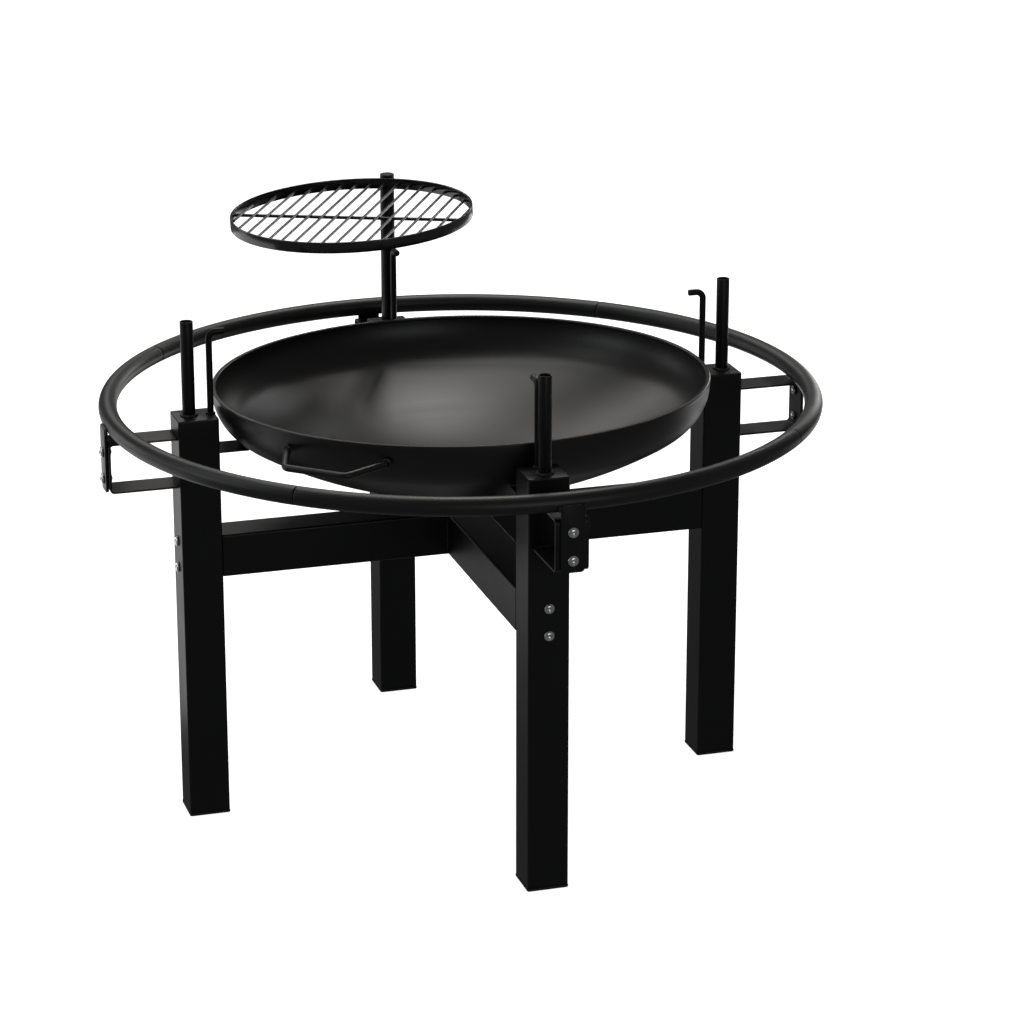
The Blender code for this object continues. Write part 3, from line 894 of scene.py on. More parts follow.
@dataclass
class PostAndHook(SidePart):
    """The open tube that accessories slide over, the bent hook beside it, and the welds at their feet."""

    wall: float = 0.0015
    rim: float = 0.0005
    hook_bend: float = 0.010
    weld: float = 0.0026

    def post(self) -> Shell:
        """The tube: a thin rectangle with rounded corners turned round the post's axis.

        Returns:
            The post's shell.
        """
        low, high = node_box("post_right")
        outer = (high - low)[1] / 2
        inner = outer - self.wall
        corners = [(inner, low[2]), (outer, low[2]), (outer, high[2]), (inner, high[2])]
        profile = rounded(corners, self.rim, 3, looped=True)
        worn = (profile[:, 1] > high[2] - 0.001).astype(float)
        shell = revolve(profile, 48, worn, looped=True)
        return shell.moved(np.eye(3), ((low[0] + high[0]) / 2, 0.0, 0.0))

    def hook(self) -> Shell:
        """The round rod that rises and bends towards the middle of the pit.

        Returns:
            The hook's shell.
        """
        low, high = node_box("hook_right")
        radius = (high - low)[1] / 2 / math.cos(math.radians(22.5))
        stem, top = high[0] - radius, high[2] - radius
        corners = [(stem, 0.0, low[2]), (stem, 0.0, top), (low[0], 0.0, top)]
        return sweep(Round(radius, 28), rounded(corners, self.hook_bend, 12), Y_AXIS, 0.0009)

    def welds(self) -> list[Shell]:
        """A rippled bead round the foot of the post and of the hook, sunk a little into both.

        Returns:
            The post's bead and the hook's.
        """
        low, high = node_box("post_right")
        post = (high - low)[1] / 2
        foot = np.array([(low[0] + high[0]) / 2, 0.0, low[2] + 0.0004])
        hook_low, hook_high = node_box("hook_right")
        rod = (hook_high - hook_low)[1] / 2
        stem = np.array([hook_high[0] - rod, 0.0, hook_low[2] + 0.0002])
        return [
            bead_ring(foot, post + self.weld * 0.35, self.weld, 0.0031),
            bead_ring(stem, rod + self.weld * 0.25, self.weld * 0.85, 0.0029),
        ]

    def build(self, finishes: Finishes) -> None:
        """Builds all four posts and hooks, and the welds at their feet, of which the rear post has none.

        Args:
            finishes: Where the materials come from.
        """
        post, hook, welds = self.post(), self.hook(), self.welds()
        for side in Side:
            word = side.word
            shells = self.turned([post], side)
            assemble(f"post_{word}_tube", shells, finishes.coat, Body.FRAME, Slot.BLACK_COAT, f"post_{word}")
            shells = self.turned([hook], side)
            assemble(f"hook_{word}_rod", shells, finishes.coat, Body.FRAME, Slot.BLACK_COAT, f"hook_{word}")
            shells = self.turned(welds if side is not Side.REAR else welds[1:], side)
            assemble(f"post_welds_{word}", shells, finishes.weld, Body.FRAME, Slot.BLACK_COAT)


@dataclass
class CrossFrame:
    """Square-tube beams: one from left to right, and two halves that meet it."""

    corner: float = 0.003
    weld: float = 0.0017
    weld_out: float = 0.0006
    weld_short: float = 0.004

    def beam(self, node: str, axis: int) -> Shell:
        """One beam along X or Y.

        Args:
            node: Its CAD node.
            axis: 0 along X, 1 along Y.

        Returns:
            The shell.
        """
        low, high = node_box(node)
        middle, size = (low + high) / 2, high - low
        start, end = middle.copy(), middle.copy()
        start[axis], end[axis] = low[axis], high[axis]
        section = Flat(size[2], size[1 - axis], self.corner, steps=4)
        return sweep(section, line(start, end), Z_AXIS, 0.0005)

    def welds(self) -> list[Shell]:
        """Upright beads in the four corners where the half beams meet the long one.

        Returns:
            The beads.
        """
        low, high = node_box("cross_beam")
        out = high[1] + self.weld_out
        bottom, top = low[2] + self.weld_short, high[2] - self.weld_short
        beads = []
        for face in (-out, out):
            for x in (-out, out):
                beads.append(bead(line((x, face, bottom), (x, face, top)), Y_AXIS, self.weld))
        return beads

    def build(self, finishes: Finishes) -> None:
        """Builds the beams and their welds.

        Args:
            finishes: Where the materials come from.
        """
        for node, axis in (("cross_beam", 0), ("front_beam", 1), ("rear_beam", 1)):
            shells = [self.beam(node, axis)]
            assemble(f"{node}_tube", shells, finishes.coat, Body.FRAME, Slot.BLACK_COAT, node)
        assemble("beam_welds", self.welds(), finishes.weld, Body.FRAME, Slot.BLACK_COAT)


@dataclass
class GuardRail(SidePart):
    """The round rail in four quarters, its U-shaped brackets, their tabs and the welds between."""

    turn: float = 3.5
    joint_gap: float = 0.0008
    strip: float = 0.003
    bend: float = 0.007
    tab_corner: float = 0.006
    weld: float = 0.0022
    arm_weld: float = 0.0016

    @property
    def tube(self) -> float:
        """The tube's radius."""
        low, high = node_box("rail_right")
        return float(high[2] - low[2]) / 2

    @property
    def ring(self) -> float:
        """The radius of the rail's own circle: the web's outer face less the tube's radius."""
        return float(node_box("rail_bracket_right")[1][0]) - self.tube

    def quarter(self) -> Shell:
        """A quarter of the rail: a circle carried along an arc a little short of 90 degrees.

        Returns:
            The quarter's shell.
        """
        low, high = node_box("rail_right")
        half = 45.0 - math.degrees(self.joint_gap / 2 / self.ring)
        path = arc((0.0, 0.0), self.ring, self.turn - half, self.turn + half, 80)
        path = np.column_stack([path, np.full(len(path), (low[2] + high[2]) / 2)])
        return sweep(Round(self.tube, 40), path, Z_AXIS, 0.0012)

    def bracket(self) -> Shell:
        """The strip bent to a U, carried along the middle of its thickness.

        Returns:
            The bracket's shell.
        """
        low, high = node_box("rail_bracket_right")
        half = self.strip / 2
        top, bottom, web = high[2] - half, low[2] + half, high[0] - half
        corners = [(low[0], 0.0, top), (web, 0.0, top), (web, 0.0, bottom), (low[0], 0.0, bottom)]
        section = Flat(high[1] - low[1], self.strip, 0.0006, steps=2)
        return sweep(section, rounded(corners, self.bend - half, 8), Y_AXIS, 0.0005)

    def tab(self) -> Shell:
        """The plate between web and rail: a rounded rectangle carried through its thickness.

        Returns:
            The tab's shell.
        """
        low, high = node_box("rail_tab_right")
        middle, size = (low + high) / 2, high - low
        section = Flat(size[1], size[2], self.tab_corner, steps=8)
        path = line((low[0], 0.0, middle[2]), (high[0], 0.0, middle[2]))
        return sweep(section, path, Y_AXIS, 0.0006, 0.0012)

    def welds(self) -> list[Shell]:
        """Beads where the tab meets the rail's underside, and where the bracket's arms meet the leg.

        Returns:
            The beads of one side.
        """
        low, high = node_box("rail_tab_right")
        rail_low = node_box("rail_right")[0][2]
        beads = []
        x = low[0] + 0.001
        for way in (-1.0, 1.0):
            y = way * (high[1] + 0.0004)
            path = line((x, y, rail_low + 0.0035), (x, y, rail_low + 0.0125))
            beads.append(bead(path, X_AXIS, self.weld))
        x, y, z = low[0] - 0.0008, high[1] * 0.85, rail_low + 0.0004
        beads.append(bead(line((x, -y, z), (x, y, z)), X_AXIS, self.weld * 0.8))
        low, high = node_box("rail_bracket_right")
        x, y = low[0] + 0.0004, high[1] * 0.9
        for z in (high[2] - self.strip - 0.0006, low[2] + self.strip + 0.0006):
            beads.append(bead(line((x, -y, z), (x, y, z)), X_AXIS, self.arm_weld))
        return beads

    def build(self, finishes: Finishes) -> None:
        """Builds the rail's quarters, brackets, tabs and welds.

        Args:
            finishes: Where the materials come from.
        """
        quarter, bracket, tab, welds = self.quarter(), self.bracket(), self.tab(), self.welds()
        for side in Side:
            word = side.word
            kit = (
                (f"rail_{word}_tube", quarter, finishes.rail, f"rail_{word}"),
                (f"rail_bracket_{word}_strip", bracket, finishes.coat, f"rail_bracket_{word}"),
                (f"rail_tab_{word}_plate", tab, finishes.coat, f"rail_tab_{word}"),
            )
            for name, shell, material, node in kit:
                assemble(name, self.turned([shell], side), material, Body.FRAME, Slot.BLACK_COAT, node)
            shells = self.turned(welds, side)
            assemble(f"rail_welds_{word}", shells, finishes.weld, Body.FRAME, Slot.BLACK_COAT)


@dataclass
class Bolts(SidePart):
    """Button-head bolts with a hexagonal socket and a thread, and the nuts on the rail's."""

    shank: float = 0.00395
    pitch: float = 0.00125
    socket: float = 0.0030
    socket_depth: float = 0.0022
    head_height: float = 0.0045
    head_rim: float = 0.0009
    groove: float = 0.00062
    tip: float = 0.0009
    nut_flats: float = 0.0125
    nut_height: float = 0.0038
    nut_chamfer: float = 0.0009

    def head(self, radius: float, height: float) -> Shell:
        """The head. Its dome is a quarter ellipse over a short upright rim. The socket's rings are hexagons,
        whose radius at angle a is flat / cos(a') with a' the angle from the nearest flat's middle. Between
        socket and dome the rings go from hexagon to circle.

        Args:
            radius: The head's radius.
            height: The head's height.

        Returns:
            The shell, round Z with its underside at z = 0.
        """
        angle = np.linspace(0.0, math.tau, 72, endpoint=False)
        from_flat = (angle + math.pi / 6) % (math.pi / 3) - math.pi / 6
        hexagon = self.socket * math.cos(math.pi / 6) / np.cos(from_flat)
        lift = np.radians(np.linspace(0.0, 62.0, 12))
        dome_radius = radius * np.cos(lift)
        dome_height = self.head_rim + (height - self.head_rim) * np.sin(lift) / math.sin(lift[-1])
        under = [(radius - 0.0006, 0.0, 0.0), (radius - 0.0001, 0.0003, 0.0)]
        dome = [(r, z, 0.0) for r, z in zip(dome_radius, dome_height)]
        well = [
            (self.socket * 1.06, height, 0.6),
            (self.socket, height - 0.0002, 1.0),
            (self.socket, height - self.socket_depth, 1.0),
            (self.socket * 0.5, height - self.socket_depth - 0.0006, 0.5),
            (0.0002, height - self.socket_depth - 0.0008, 0.0),
        ]
        rings = np.array(under + dome + well)
        blend = rings[:, 2:]
        reach = rings[:, :1] * (1 - blend + blend * hexagon / self.socket)
        rows = np.stack([reach * np.cos(angle), reach * np.sin(angle), rings[:, 1:2] + 0 * angle], -1)
        return skin(rows)

    def thread(self, start: float, end: float) -> Shell:
        """A threaded shank down from z = start to z = end. At height z and angle a its radius is the shank's,
        less a groove whose depth is a triangle wave of (z / pitch - a / full turn), and the tip is tapered.

        Args:
            start: The upper end.
            end: The lower end.

        Returns:
            The shell.
        """
        angle = np.linspace(0.0, math.tau, 30, endpoint=False)
        height = np.linspace(start, end, max(int((start - end) / self.pitch * 6), 4))[:, None]
        phase = (height / self.pitch - angle / math.tau) % 1.0
        groove = self.groove * np.abs(2 * phase - 1)
        taper = np.clip(1.0 - (height - end) / 0.0008, 0.0, 1.0) * self.tip
        reach = self.shank - groove - taper
        rows = np.stack([reach * np.cos(angle), reach * np.sin(angle), height + 0 * angle], -1)
        return skin(rows)

    def nut(self, top: float) -> Shell:
        """A nut under z = top: rings of a hexagon whose corners are cut by a cone at both faces.

        Args:
            top: The face that bears on the plate.

        Returns:
            The shell.
        """
        angle = np.linspace(0.0, math.tau, 72, endpoint=False)
        from_flat = (angle + math.pi / 6) % (math.pi / 3) - math.pi / 6
        hexagon = self.nut_flats / 2 / np.cos(from_flat)
        corner = self.nut_flats / 2 / math.cos(math.pi / 6)
        rise = np.array([0.0, 0.0, 0.0004, self.nut_chamfer])
        height = np.concatenate([rise, self.nut_height - rise[::-1]])[:, None]
        slant = np.minimum(height, self.nut_height - height)
        limit = self.nut_flats / 2 * 0.99 + slant * (corner - self.nut_flats / 2) / self.nut_chamfer * 1.05
        reach = np.minimum(hexagon, limit)
        reach[[0, -1]] = self.nut_flats / 2 * 0.8
        rows = np.stack([reach * np.cos(angle), reach * np.sin(angle), top - height + 0 * angle], -1)
        return skin(rows)

    def bolt(self, node: str, nut_at: float | None) -> list[Shell]:
        """A whole bolt, laid along -X with its head outwards.

        Args:
            node: Its CAD node at the right-hand leg.
            nut_at: The x of the face that a nut bears on, or None.

        Returns:
            The shells.
        """
        low, high = node_box(node)
        radius = float(high[2] - low[2]) / 2 / math.cos(math.radians(18.0))
        radius = max(radius, float(high[1] - low[1]) / 2)
        under = high[0] - self.head_height
        shells = [self.head(radius, self.head_height), self.thread(0.0005, float(low[0] - under))]
        if nut_at is not None:
            shells.append(self.nut(nut_at - under))
        lay = turn_about(Y_AXIS, 90.0)
        return [shell.moved(lay, (under, 0.0, (low[2] + high[2]) / 2)) for shell in shells]

    def build(self, finishes: Finishes) -> None:
        """Builds the sixteen bolts.

        Args:
            finishes: Where the materials come from.
        """
        bracket_high = node_box("rail_bracket_right")[1]
        inner_face = float(bracket_high[0]) - GuardRail.strip
        for stem, nut_at in (("leg_bolt", None), ("rail_bolt", inner_face)):
            for level in ("upper", "lower"):
                shells = self.bolt(f"{stem}_right_{level}", nut_at)
                for side in Side:
                    node = f"{stem}_{side.word}_{level}"
                    turned = self.turned(shells, side)
                    assemble(f"{node}_zinc", turned, finishes.zinc, Body.FRAME, Slot.ZINC, node)


@dataclass
class BowlArms(SidePart):
    """The short flat arms that the bowl rests on, with the welds that hold them to the legs."""

    weld: float = 0.0018

    def build(self, finishes: Finishes) -> None:
        """Builds the four arms and their welds, each at its own height under the leaning bowl.

        Args:
            finishes: Where the materials come from.
        """
        low, high = node_box("bowl_arm_right")
        size = high - low
        section = Flat(size[1], size[2], 0.0007, steps=2)
        for side in Side:
            node = f"bowl_arm_{side.word}"
            bottom = float(node_box(node)[0][2])
            middle = bottom + size[2] / 2
            arm = sweep(section, line((low[0], 0.0, middle), (high[0], 0.0, middle)), Y_AXIS, 0.0006)
            half = high[1] * 0.9
            weld = bead(line((high[0], -half, bottom), (high[0], half, bottom)), Z_AXIS, self.weld)
            shells = self.turned([arm], side)
            assemble(f"{node}_strip", shells, finishes.coat, Body.FRAME, Slot.BLACK_COAT, node)
            shells = self.turned([weld], side)
            assemble(f"bowl_arm_weld_{side.word}", shells, finishes.weld, Body.FRAME, Slot.BLACK_COAT)


@dataclass
class Bowl:
    """The dished pan, which leans a little, and its two bent-rod handles, built round the rim's middle."""

    radius: float = 0.366
    rim: float = 0.636
    depth: float = 0.160
    tip_back: float = 1.4
    tip_left: float = 0.5
    wall: float = 0.003
    straight: float = 0.006
    knuckle: float = 0.073
    lip_width: float = 0.006
    lip_height: float = 0.005
    lip_round: float = 0.0016
    rod: float = 0.005
    handle_depth: float = 0.026
    foot_width: float = 0.160
    grip_width: float = 0.098
    reach: float = 0.053
    drop: float = 0.0065
    handle_bend: float = 0.012
    gap: float = 0.0003
    weld: float = 0.0022
    corners: dict[str, float] = field(default_factory=lambda: {"front_left": 225.0, "rear_right": 45.0})

    def __post_init__(self) -> None:
        """Works out how the pan leans, and the crown that runs on smoothly from its knuckle."""
        self.lean = turn_about(Y_AXIS, -self.tip_left) @ turn_about(X_AXIS, -self.tip_back)
        middle = self.radius - self.knuckle
        depth = self.depth - self.straight
        self.crown = (depth**2 - self.knuckle**2 + middle**2) / (2 * (depth - self.knuckle))
        self.crown_centre = math.sqrt((self.crown - self.knuckle) ** 2 - middle**2) - self.straight

    def leaned(self, shell: Shell) -> Shell:
        """A shell built round the rim's middle, leaned and lifted to its place."""
        return shell.moved(self.lean, (0.0, 0.0, self.rim))

    def dish(self, offset: float) -> Array:
        """Half the dish's section, this far inside its outer face: the knuckle's arc, then the crown's.

        Args:
            offset: The distance inside the outer face.

        Returns:
            Points of radius and height below the rim, from the wall to near the middle.
        """
        middle = self.radius - self.knuckle
        meet = math.degrees(math.asin(middle / (self.crown - self.knuckle)))
        bend = arc((middle, -self.straight), self.knuckle - offset, 0.0, meet - 90.0, 24)
        crown = arc((0.0, self.crown_centre), self.crown - offset, meet - 90.0, -90.0, 48)
        return np.concatenate([bend, crown[1:-1], [[0.0006, crown[-1, 1]]]])

    def pan(self) -> Shell:
        """The pan: its section, with a thick rounded lip, turned about the middle of the pit.

        Returns:
            The pan's shell.
        """
        inner = self.radius - self.lip_width
        corners = [
            (self.radius, -self.lip_height),
            (self.radius, 0.0),
            (inner, 0.0),
            (inner, -self.lip_height),
            (self.radius - self.wall, -self.lip_height - 0.0006),
        ]
        lip = rounded(corners, self.lip_round, 6)
        lip[-1, 1] = -self.straight + 0.0001
        outer = self.dish(0.0)[::-1]
        profile = np.concatenate([outer, lip, self.dish(self.wall)])
        worn = np.zeros(len(profile))
        worn[len(outer) : len(outer) + len(lip)] = 1.0
        return revolve(profile, 256, worn)

    def wall_at(self, depth: float) -> float:
        """The radius of the pan's outside this far below the rim, on its knuckle."""
        return self.radius - self.knuckle + math.sqrt(self.knuckle**2 - (depth - self.straight) ** 2)

    def handle(self) -> list[Shell]:
        """A handle at +X, with a weld at each foot: two legs that come together towards a straight grip.

        Returns:
            The rod's shell, then its two welds.
        """
        foot, grip = self.foot_width / 2, self.grip_width / 2
        wall = self.wall_at(self.handle_depth - self.rod)
        lean = self.rod * (foot - grip) / self.reach
        start = math.sqrt(wall**2 - (foot - self.rod) ** 2) + lean + self.gap
        outer, height = wall + self.reach, -self.handle_depth
        corners = [
            (start, -foot, height),
            (outer, -grip, height - self.drop),
            (outer, grip, height - self.drop),
            (start, foot, height),
        ]
        side = unit(np.cross([outer - start, 0.0, -self.drop], Y_AXIS))
        shells = [sweep(Round(self.rod, 28), rounded(corners, self.handle_bend, 12), side, 0.0006)]
        for y in (-foot, foot):
            way = unit(np.array([start - 0.002, y, 0.0]))
            circle = arc((0.0, 0.0), self.rod + 0.0004, 0.0, 360.0, 40)[:-1]
            across = np.cross(Z_AXIS, way)
            middle = np.array([start - 0.0006, y, height])
            path = middle + circle[:, :1] * across + circle[:, 1:] * Z_AXIS
            shells.append(bead(path, way, self.weld, looped=True, ripple=0.0028))
        return shells

    def build(self, finishes: Finishes) -> None:
        """Builds the pan, the handles and their welds.

        Args:
            finishes: Where the materials come from.
        """
        assemble("bowl_pan", [self.leaned(self.pan())], finishes.bowl, Body.BOWL, Slot.BOWL_COAT, "bowl")
        handle = self.handle()
        for word, angle in self.corners.items():
            turned = [self.leaned(shell.moved(turn_about(Z_AXIS, angle))) for shell in handle]
            name = f"handle_{word}"
            assemble(f"{name}_rod", turned[:1], finishes.bowl, Body.BOWL, Slot.BOWL_COAT, name)
            assemble(f"{name}_welds", turned[1:], finishes.weld, Body.BOWL, Slot.BOWL_COAT)


@dataclass
class Grate:
    """The tilted round grate, and the capped sleeve that it hangs on over the rear post."""

    radius: float = 0.183
    bottom: float = 0.829
    height: float = 0.0165
    band: float = 0.003
    rod: float = 0.002
    spacing: float = 0.0215
    pairs: int = 8
    cross: float = 0.0025
    cross_rise: float = 0.0035
    bite: float = 0.0008
    swing: float = 31.0
    droop: float = 2.1
    lean: float = 2.2
    gap: float = 0.0003
    bar_weld: float = 0.0016
    bar_weld_reach: float = 0.9  # degrees along the band to each side of a bar
    sleeve_weld: float = 0.0018
    sleeve_wall: float = 0.0012

    def __post_init__(self) -> None:
        """Reads the sleeve from the frame and works out how the grate hangs on it."""
        low, high = node_box("grate_sleeve")
        self.sleeve_low, self.sleeve_high = float(low[2]), float(high[2])
        self.sleeve = float(high[0] - low[0]) / 2
        self.axis = (low + high) / 2 * np.array([1.0, 1.0, 0.0])
        self.pivot = turn_about(Z_AXIS, -90.0 - self.swing)
        self.tilt = turn_about(Y_AXIS, self.droop) @ turn_about(X_AXIS, self.lean)

    def hung(self, shell: Shell) -> Shell:
        """A shell of the level grate, its near edge at the origin and its middle along +X, hung in place."""
        tilted = shell.moved(self.tilt, (self.sleeve + self.gap, 0.0, self.bottom))
        return tilted.moved(self.pivot, self.axis)

    def rim(self) -> Shell:
        """The band on edge: a thin rounded rectangle turned about the grate's middle.

        Returns:
            The band's shell.
        """
        inner = self.radius - self.band
        corners = [(inner, 0.0), (self.radius, 0.0), (self.radius, self.height), (inner, self.height)]
        profile = rounded(corners, 0.0007, 4, looped=True)
        return revolve(profile, 256, 0.0, looped=True).moved(np.eye(3), (self.radius, 0.0, 0.0))

    def chord(self, offset: float) -> float:
        """Half the length of a bar at this offset, up to the band's inner face."""
        return math.sqrt((self.radius - self.band) ** 2 - offset**2) + 0.0004

    def bars(self) -> list[Shell]:
        """The straight bars and the cross bar under them.

        Returns:
            The bars' shells, the cross bar last.
        """
        rise = self.cross_rise + self.cross + self.rod - self.bite
        shells = []
        for i in range(-self.pairs, self.pairs + 1):
            y = i * self.spacing
            half = self.chord(abs(y) + self.rod)
            path = line((self.radius - half, y, rise), (self.radius + half, y, rise))
            shells.append(sweep(Round(self.rod, 16), path, Y_AXIS, 0.0004))
        half = self.chord(self.cross)
        path = line((self.radius, -half, self.cross_rise), (self.radius, half, self.cross_rise))
        shells.append(sweep(Round(self.cross, 18), path, X_AXIS, 0.0004))
        return shells

    def welds(self) -> list[Shell]:
        """A small bead at each end of each bar, along the band, and two where the band meets the sleeve.

        Returns:
            The beads.
        """
        rise = self.cross_rise + self.cross + self.rod - self.bite
        reach = self.radius - self.band - 0.0004
        shells = []
        for i in range(-self.pairs, self.pairs + 1):
            away = math.degrees(math.asin(i * self.spacing / reach))
            for middle in (away, 180.0 - away):
                span = (middle - self.bar_weld_reach, middle + self.bar_weld_reach)
                path = arc((self.radius, 0.0), reach, *span, 6)
                path = np.column_stack([path, np.full(len(path), rise - 0.001)])
                shells.append(bead(path, Z_AXIS, self.bar_weld, ripple=0.0019))
        for way in (-1.0, 1.0):
            y = way * 0.0034
            path = line((-0.0002, y, 0.0015), (-0.0002, y, self.height - 0.0015))
            shells.append(bead(path, X_AXIS, self.sleeve_weld))
        return shells

    def sleeve_tube(self) -> Shell:
        """The sleeve: a thin rounded rectangle turned round the post's axis.

        Returns:
            The sleeve's shell.
        """
        inner = self.sleeve - self.sleeve_wall
        corners = [
            (inner, self.sleeve_low),
            (self.sleeve, self.sleeve_low),
            (self.sleeve, self.sleeve_high),
            (inner, self.sleeve_high),
        ]
        profile = rounded(corners, 0.0004, 3, looped=True)
        worn = (profile[:, 1] < self.sleeve_low + 0.002).astype(float)
        return revolve(profile, 56, worn, looped=True).moved(np.eye(3), self.axis)

    def cap(self) -> Shell:
        """The cap: a low dome with a rounded edge over the sleeve, and its plug.

        Returns:
            The cap's shell.
        """
        low, high = node_box("grate_sleeve_cap")
        seam = self.sleeve_high + self.gap
        plug = self.sleeve - 0.0017
        edge = self.sleeve
        corners = [(plug, seam), (edge, seam), (edge, high[2]), (0.0005, high[2])]
        top = rounded(corners, 0.0014, 6)
        profile = np.concatenate([[(0.0005, low[2]), (plug - 0.0006, low[2]), (plug, low[2] + 0.0008)], top])
        worn = (profile[:, 1] > seam + 0.001).astype(float) * (profile[:, 0] > edge - 0.002)
        return revolve(profile, 56, worn).moved(np.eye(3), self.axis)

    def build(self, finishes: Finishes) -> None:
        """Builds the sleeve, its cap, the band, the bars and the welds.

        Args:
            finishes: Where the materials come from.
        """
        black = Slot.BLACK_COAT
        assemble("grate_sleeve_tube", [self.sleeve_tube()], finishes.coat, Body.SLEEVE, black, "grate_sleeve")
        cap = [self.cap()]
        plastic = Slot.FOOT_PLASTIC
        assemble("grate_sleeve_plug", cap, finishes.plastic, Body.SLEEVE, plastic, "grate_sleeve_cap")
        assemble("grate_rim", [self.hung(self.rim())], finishes.gloss, Body.GRATE, black, "grate_band")
        bars = [self.hung(shell) for shell in self.bars()]
        assemble("grate_rods", bars, finishes.bars, Body.GRATE, Slot.GRATE_BLACK, "grate_bars")
        welds = [self.hung(shell) for shell in self.welds()]
        assemble("grate_welds", welds, finishes.weld, Body.GRATE, black)


# ---------------------------------------------------------------- studio


@dataclass(frozen=True)
class SoftBox:
    """A rectangular studio light aimed at a point."""

    name: str
    place: tuple[float, float, float]
    size: tuple[float, float]
    power: float
    colour: Colour = WHITE
    aim: tuple[float, float, float] = (0.0, 0.0, 0.5)
    mirrored_only: bool = False

    def build(self) -> None:
        """Hangs the light."""
        data = bpy.data.lights.new(self.name, "AREA")
        data.shape = "RECTANGLE"
        data.size, data.size_y = self.size
        data.energy = self.power
        data.color = self.colour
        light = bpy.data.objects.new(self.name, data)
        light.location = self.place
        light.rotation_euler = (Vector(self.aim) - Vector(self.place)).to_track_quat("-Z", "Y").to_euler()
        bpy.context.scene.collection.objects.link(light)
        light.visible_camera = False
        light.visible_diffuse = not self.mirrored_only


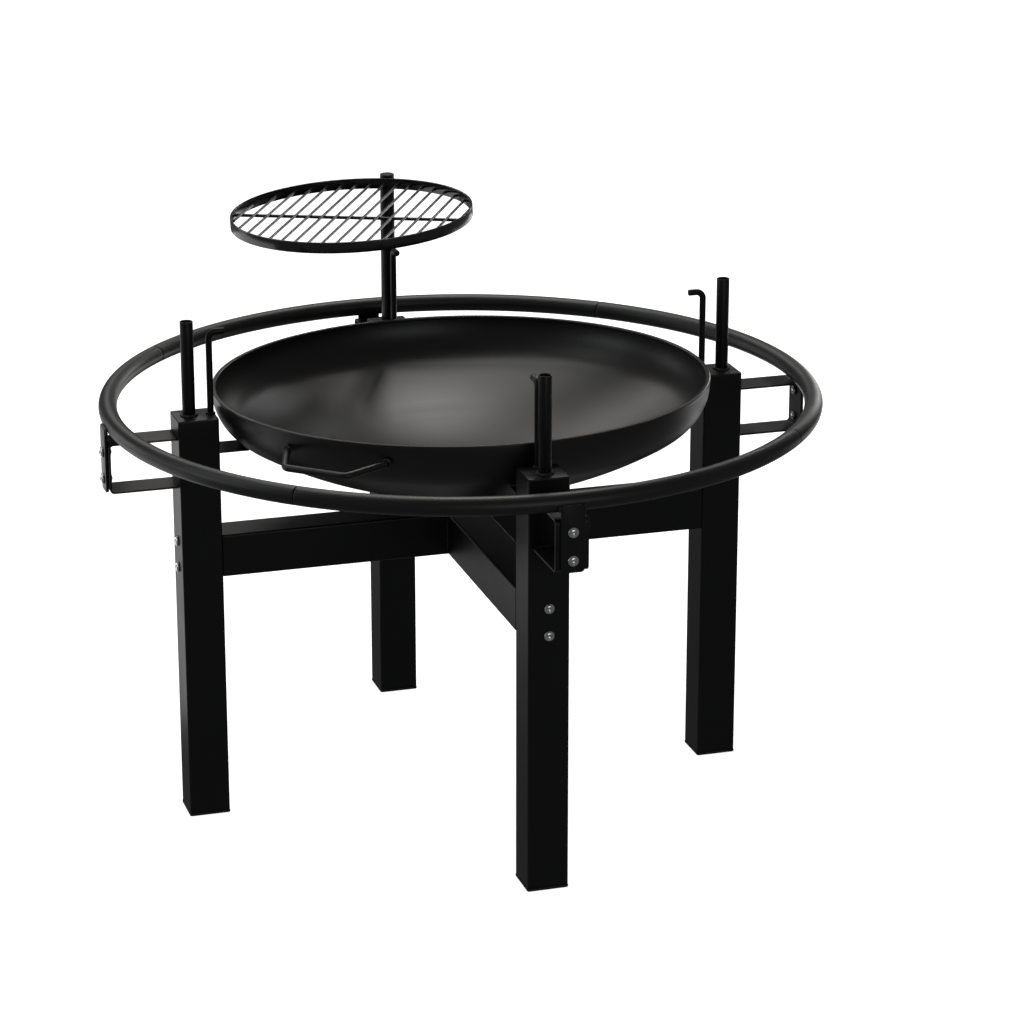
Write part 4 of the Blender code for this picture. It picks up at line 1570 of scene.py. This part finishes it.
@dataclass
class Studio:
    """A plain pale floor under soft lights."""

    floor_half: float = 30.0
    floor_colour: Colour = (0.82, 0.82, 0.82)
    floor_shade: Colour = (0.795, 0.795, 0.795)
    floor_glow: float = 0.95
    surround: float = 0.11
    lights: tuple[SoftBox, ...] = (
        SoftBox("overhead_box", (-0.2, 1.2, 3.4), (2.0, 1.2), 22.0, (1.0, 0.985, 0.965)),
        SoftBox("pan_box", (0.85, 2.1, 3.5), (0.6, 0.4), 19.0, (1.0, 0.96, 0.92), aim=(0.0, 0.25, 0.5)),
        SoftBox("pan_side_box", (1.9, 2.4, 2.4), (0.3, 0.5), 4.5, aim=(-0.25, 0.24, 0.58)),
        SoftBox("back_box", (-0.2, 4.0, 3.0), (1.8, 1.0), 16.0, (1.0, 0.97, 0.94)),
        SoftBox("right_back_box", (2.8, 3.0, 1.0), (1.0, 1.4), 18.0, (1.0, 0.98, 0.95)),
        SoftBox("left_back_box", (-2.8, 3.0, 0.8), (1.4, 1.2), 11.0),
        SoftBox("left_high_box", (-2.6, 0.6, 3.0), (1.4, 1.4), 9.0),
        SoftBox("left_box", (-3.8, 0.4, 1.4), (1.4, 1.8), 13.0, (0.94, 0.97, 1.0)),
        SoftBox("front_box", (0.6, -4.6, 1.4), (2.2, 1.4), 14.0, (0.95, 0.975, 1.0)),
        SoftBox("left_card", (-1.6, 1.6, 0.02), (2.2, 2.6), 16.0, WHITE, (-1.6, 1.6, 1.0), True),
        SoftBox("right_card", (1.6, 1.8, 0.02), (2.2, 2.6), 22.0, WHITE, (1.6, 1.8, 1.0), True),
    )

    def build(self) -> None:
        """Builds the floor, the lights and the surroundings."""
        graph = Graph("studio_floor")
        mottle = graph.noise(0.5, 3.0)
        material = graph.dress(
            Base_Color=graph.blend(mottle, self.floor_colour, self.floor_shade),
            Roughness=0.9,
            Specular_IOR_Level=0.0,
            Emission_Color=WHITE,
            Emission_Strength=self.floor_glow,
        )
        half = self.floor_half
        mesh = bpy.data.meshes.new("floor")
        corners = [(-half, -half, 0.0), (half, -half, 0.0), (half, half, 0.0), (-half, half, 0.0)]
        mesh.from_pydata(corners, [], [(0, 1, 2, 3)])
        mesh.materials.append(material)
        floor = bpy.data.objects.new("floor", mesh)
        bpy.context.scene.collection.objects.link(floor)
        floor.visible_glossy = False
        floor.visible_diffuse = False
        for light in self.lights:
            light.build()
        self.surroundings()

    def surroundings(self) -> None:
        """Pale to the camera, dim to everything else."""
        world = bpy.data.worlds.new("surroundings")
        world.use_nodes = True
        tree = world.node_tree
        pale = tree.nodes["Background"]
        pale.inputs["Color"].default_value = (*WHITE, 1.0)
        dim = tree.nodes.new("ShaderNodeBackground")
        dim.inputs["Color"].default_value = (*WHITE, 1.0)
        dim.inputs["Strength"].default_value = self.surround
        rays = tree.nodes.new("ShaderNodeLightPath")
        mix = tree.nodes.new("ShaderNodeMixShader")
        tree.links.new(rays.outputs["Is Camera Ray"], mix.inputs[0])
        tree.links.new(dim.outputs[0], mix.inputs[1])
        tree.links.new(pale.outputs[0], mix.inputs[2])
        tree.links.new(mix.outputs[0], tree.nodes["World Output"].inputs["Surface"])
        bpy.context.scene.world = world
        bpy.context.scene.view_settings.view_transform = "Standard"


@dataclass(frozen=True)
class Viewpoint:
    """The camera. It looks at a point beside the pit's axis, from angles round and above it in degrees."""

    azimuth: float = 17.06
    elevation: float = 18.67
    distance: float = 5.188
    beside: float = 0.0750
    height: float = 0.4256
    lens: float = 122.45

    def build(self) -> None:
        """Places the camera and makes it the scene's."""
        turn, tip = math.radians(self.azimuth), math.radians(self.elevation)
        look = Vector((math.sin(turn) * math.cos(tip), math.cos(turn) * math.cos(tip), -math.sin(tip)))
        right = Vector((math.cos(turn), -math.sin(turn), 0.0))
        data = bpy.data.cameras.new("camera")
        data.lens = self.lens
        camera = bpy.data.objects.new("camera", data)
        camera.location = right * self.beside + Vector((0.0, 0.0, self.height)) - look * self.distance
        camera.rotation_euler = look.to_track_quat("-Z", "Y").to_euler()
        bpy.context.scene.collection.objects.link(camera)
        bpy.context.scene.camera = camera


def main() -> None:
    """Builds the fire pit's looks, the studio and the camera."""
    logging.basicConfig(level=logging.INFO, format="%(name)s %(message)s")
    finishes = Finishes()
    for part in (Leg(), PostAndHook(), CrossFrame(), GuardRail(), Bolts(), BowlArms(), Bowl(), Grate()):
        part.build(finishes)
    Studio().build()
    Viewpoint().build()
    bpy.context.view_layer.update()


if __name__ == "__main__":
    main()
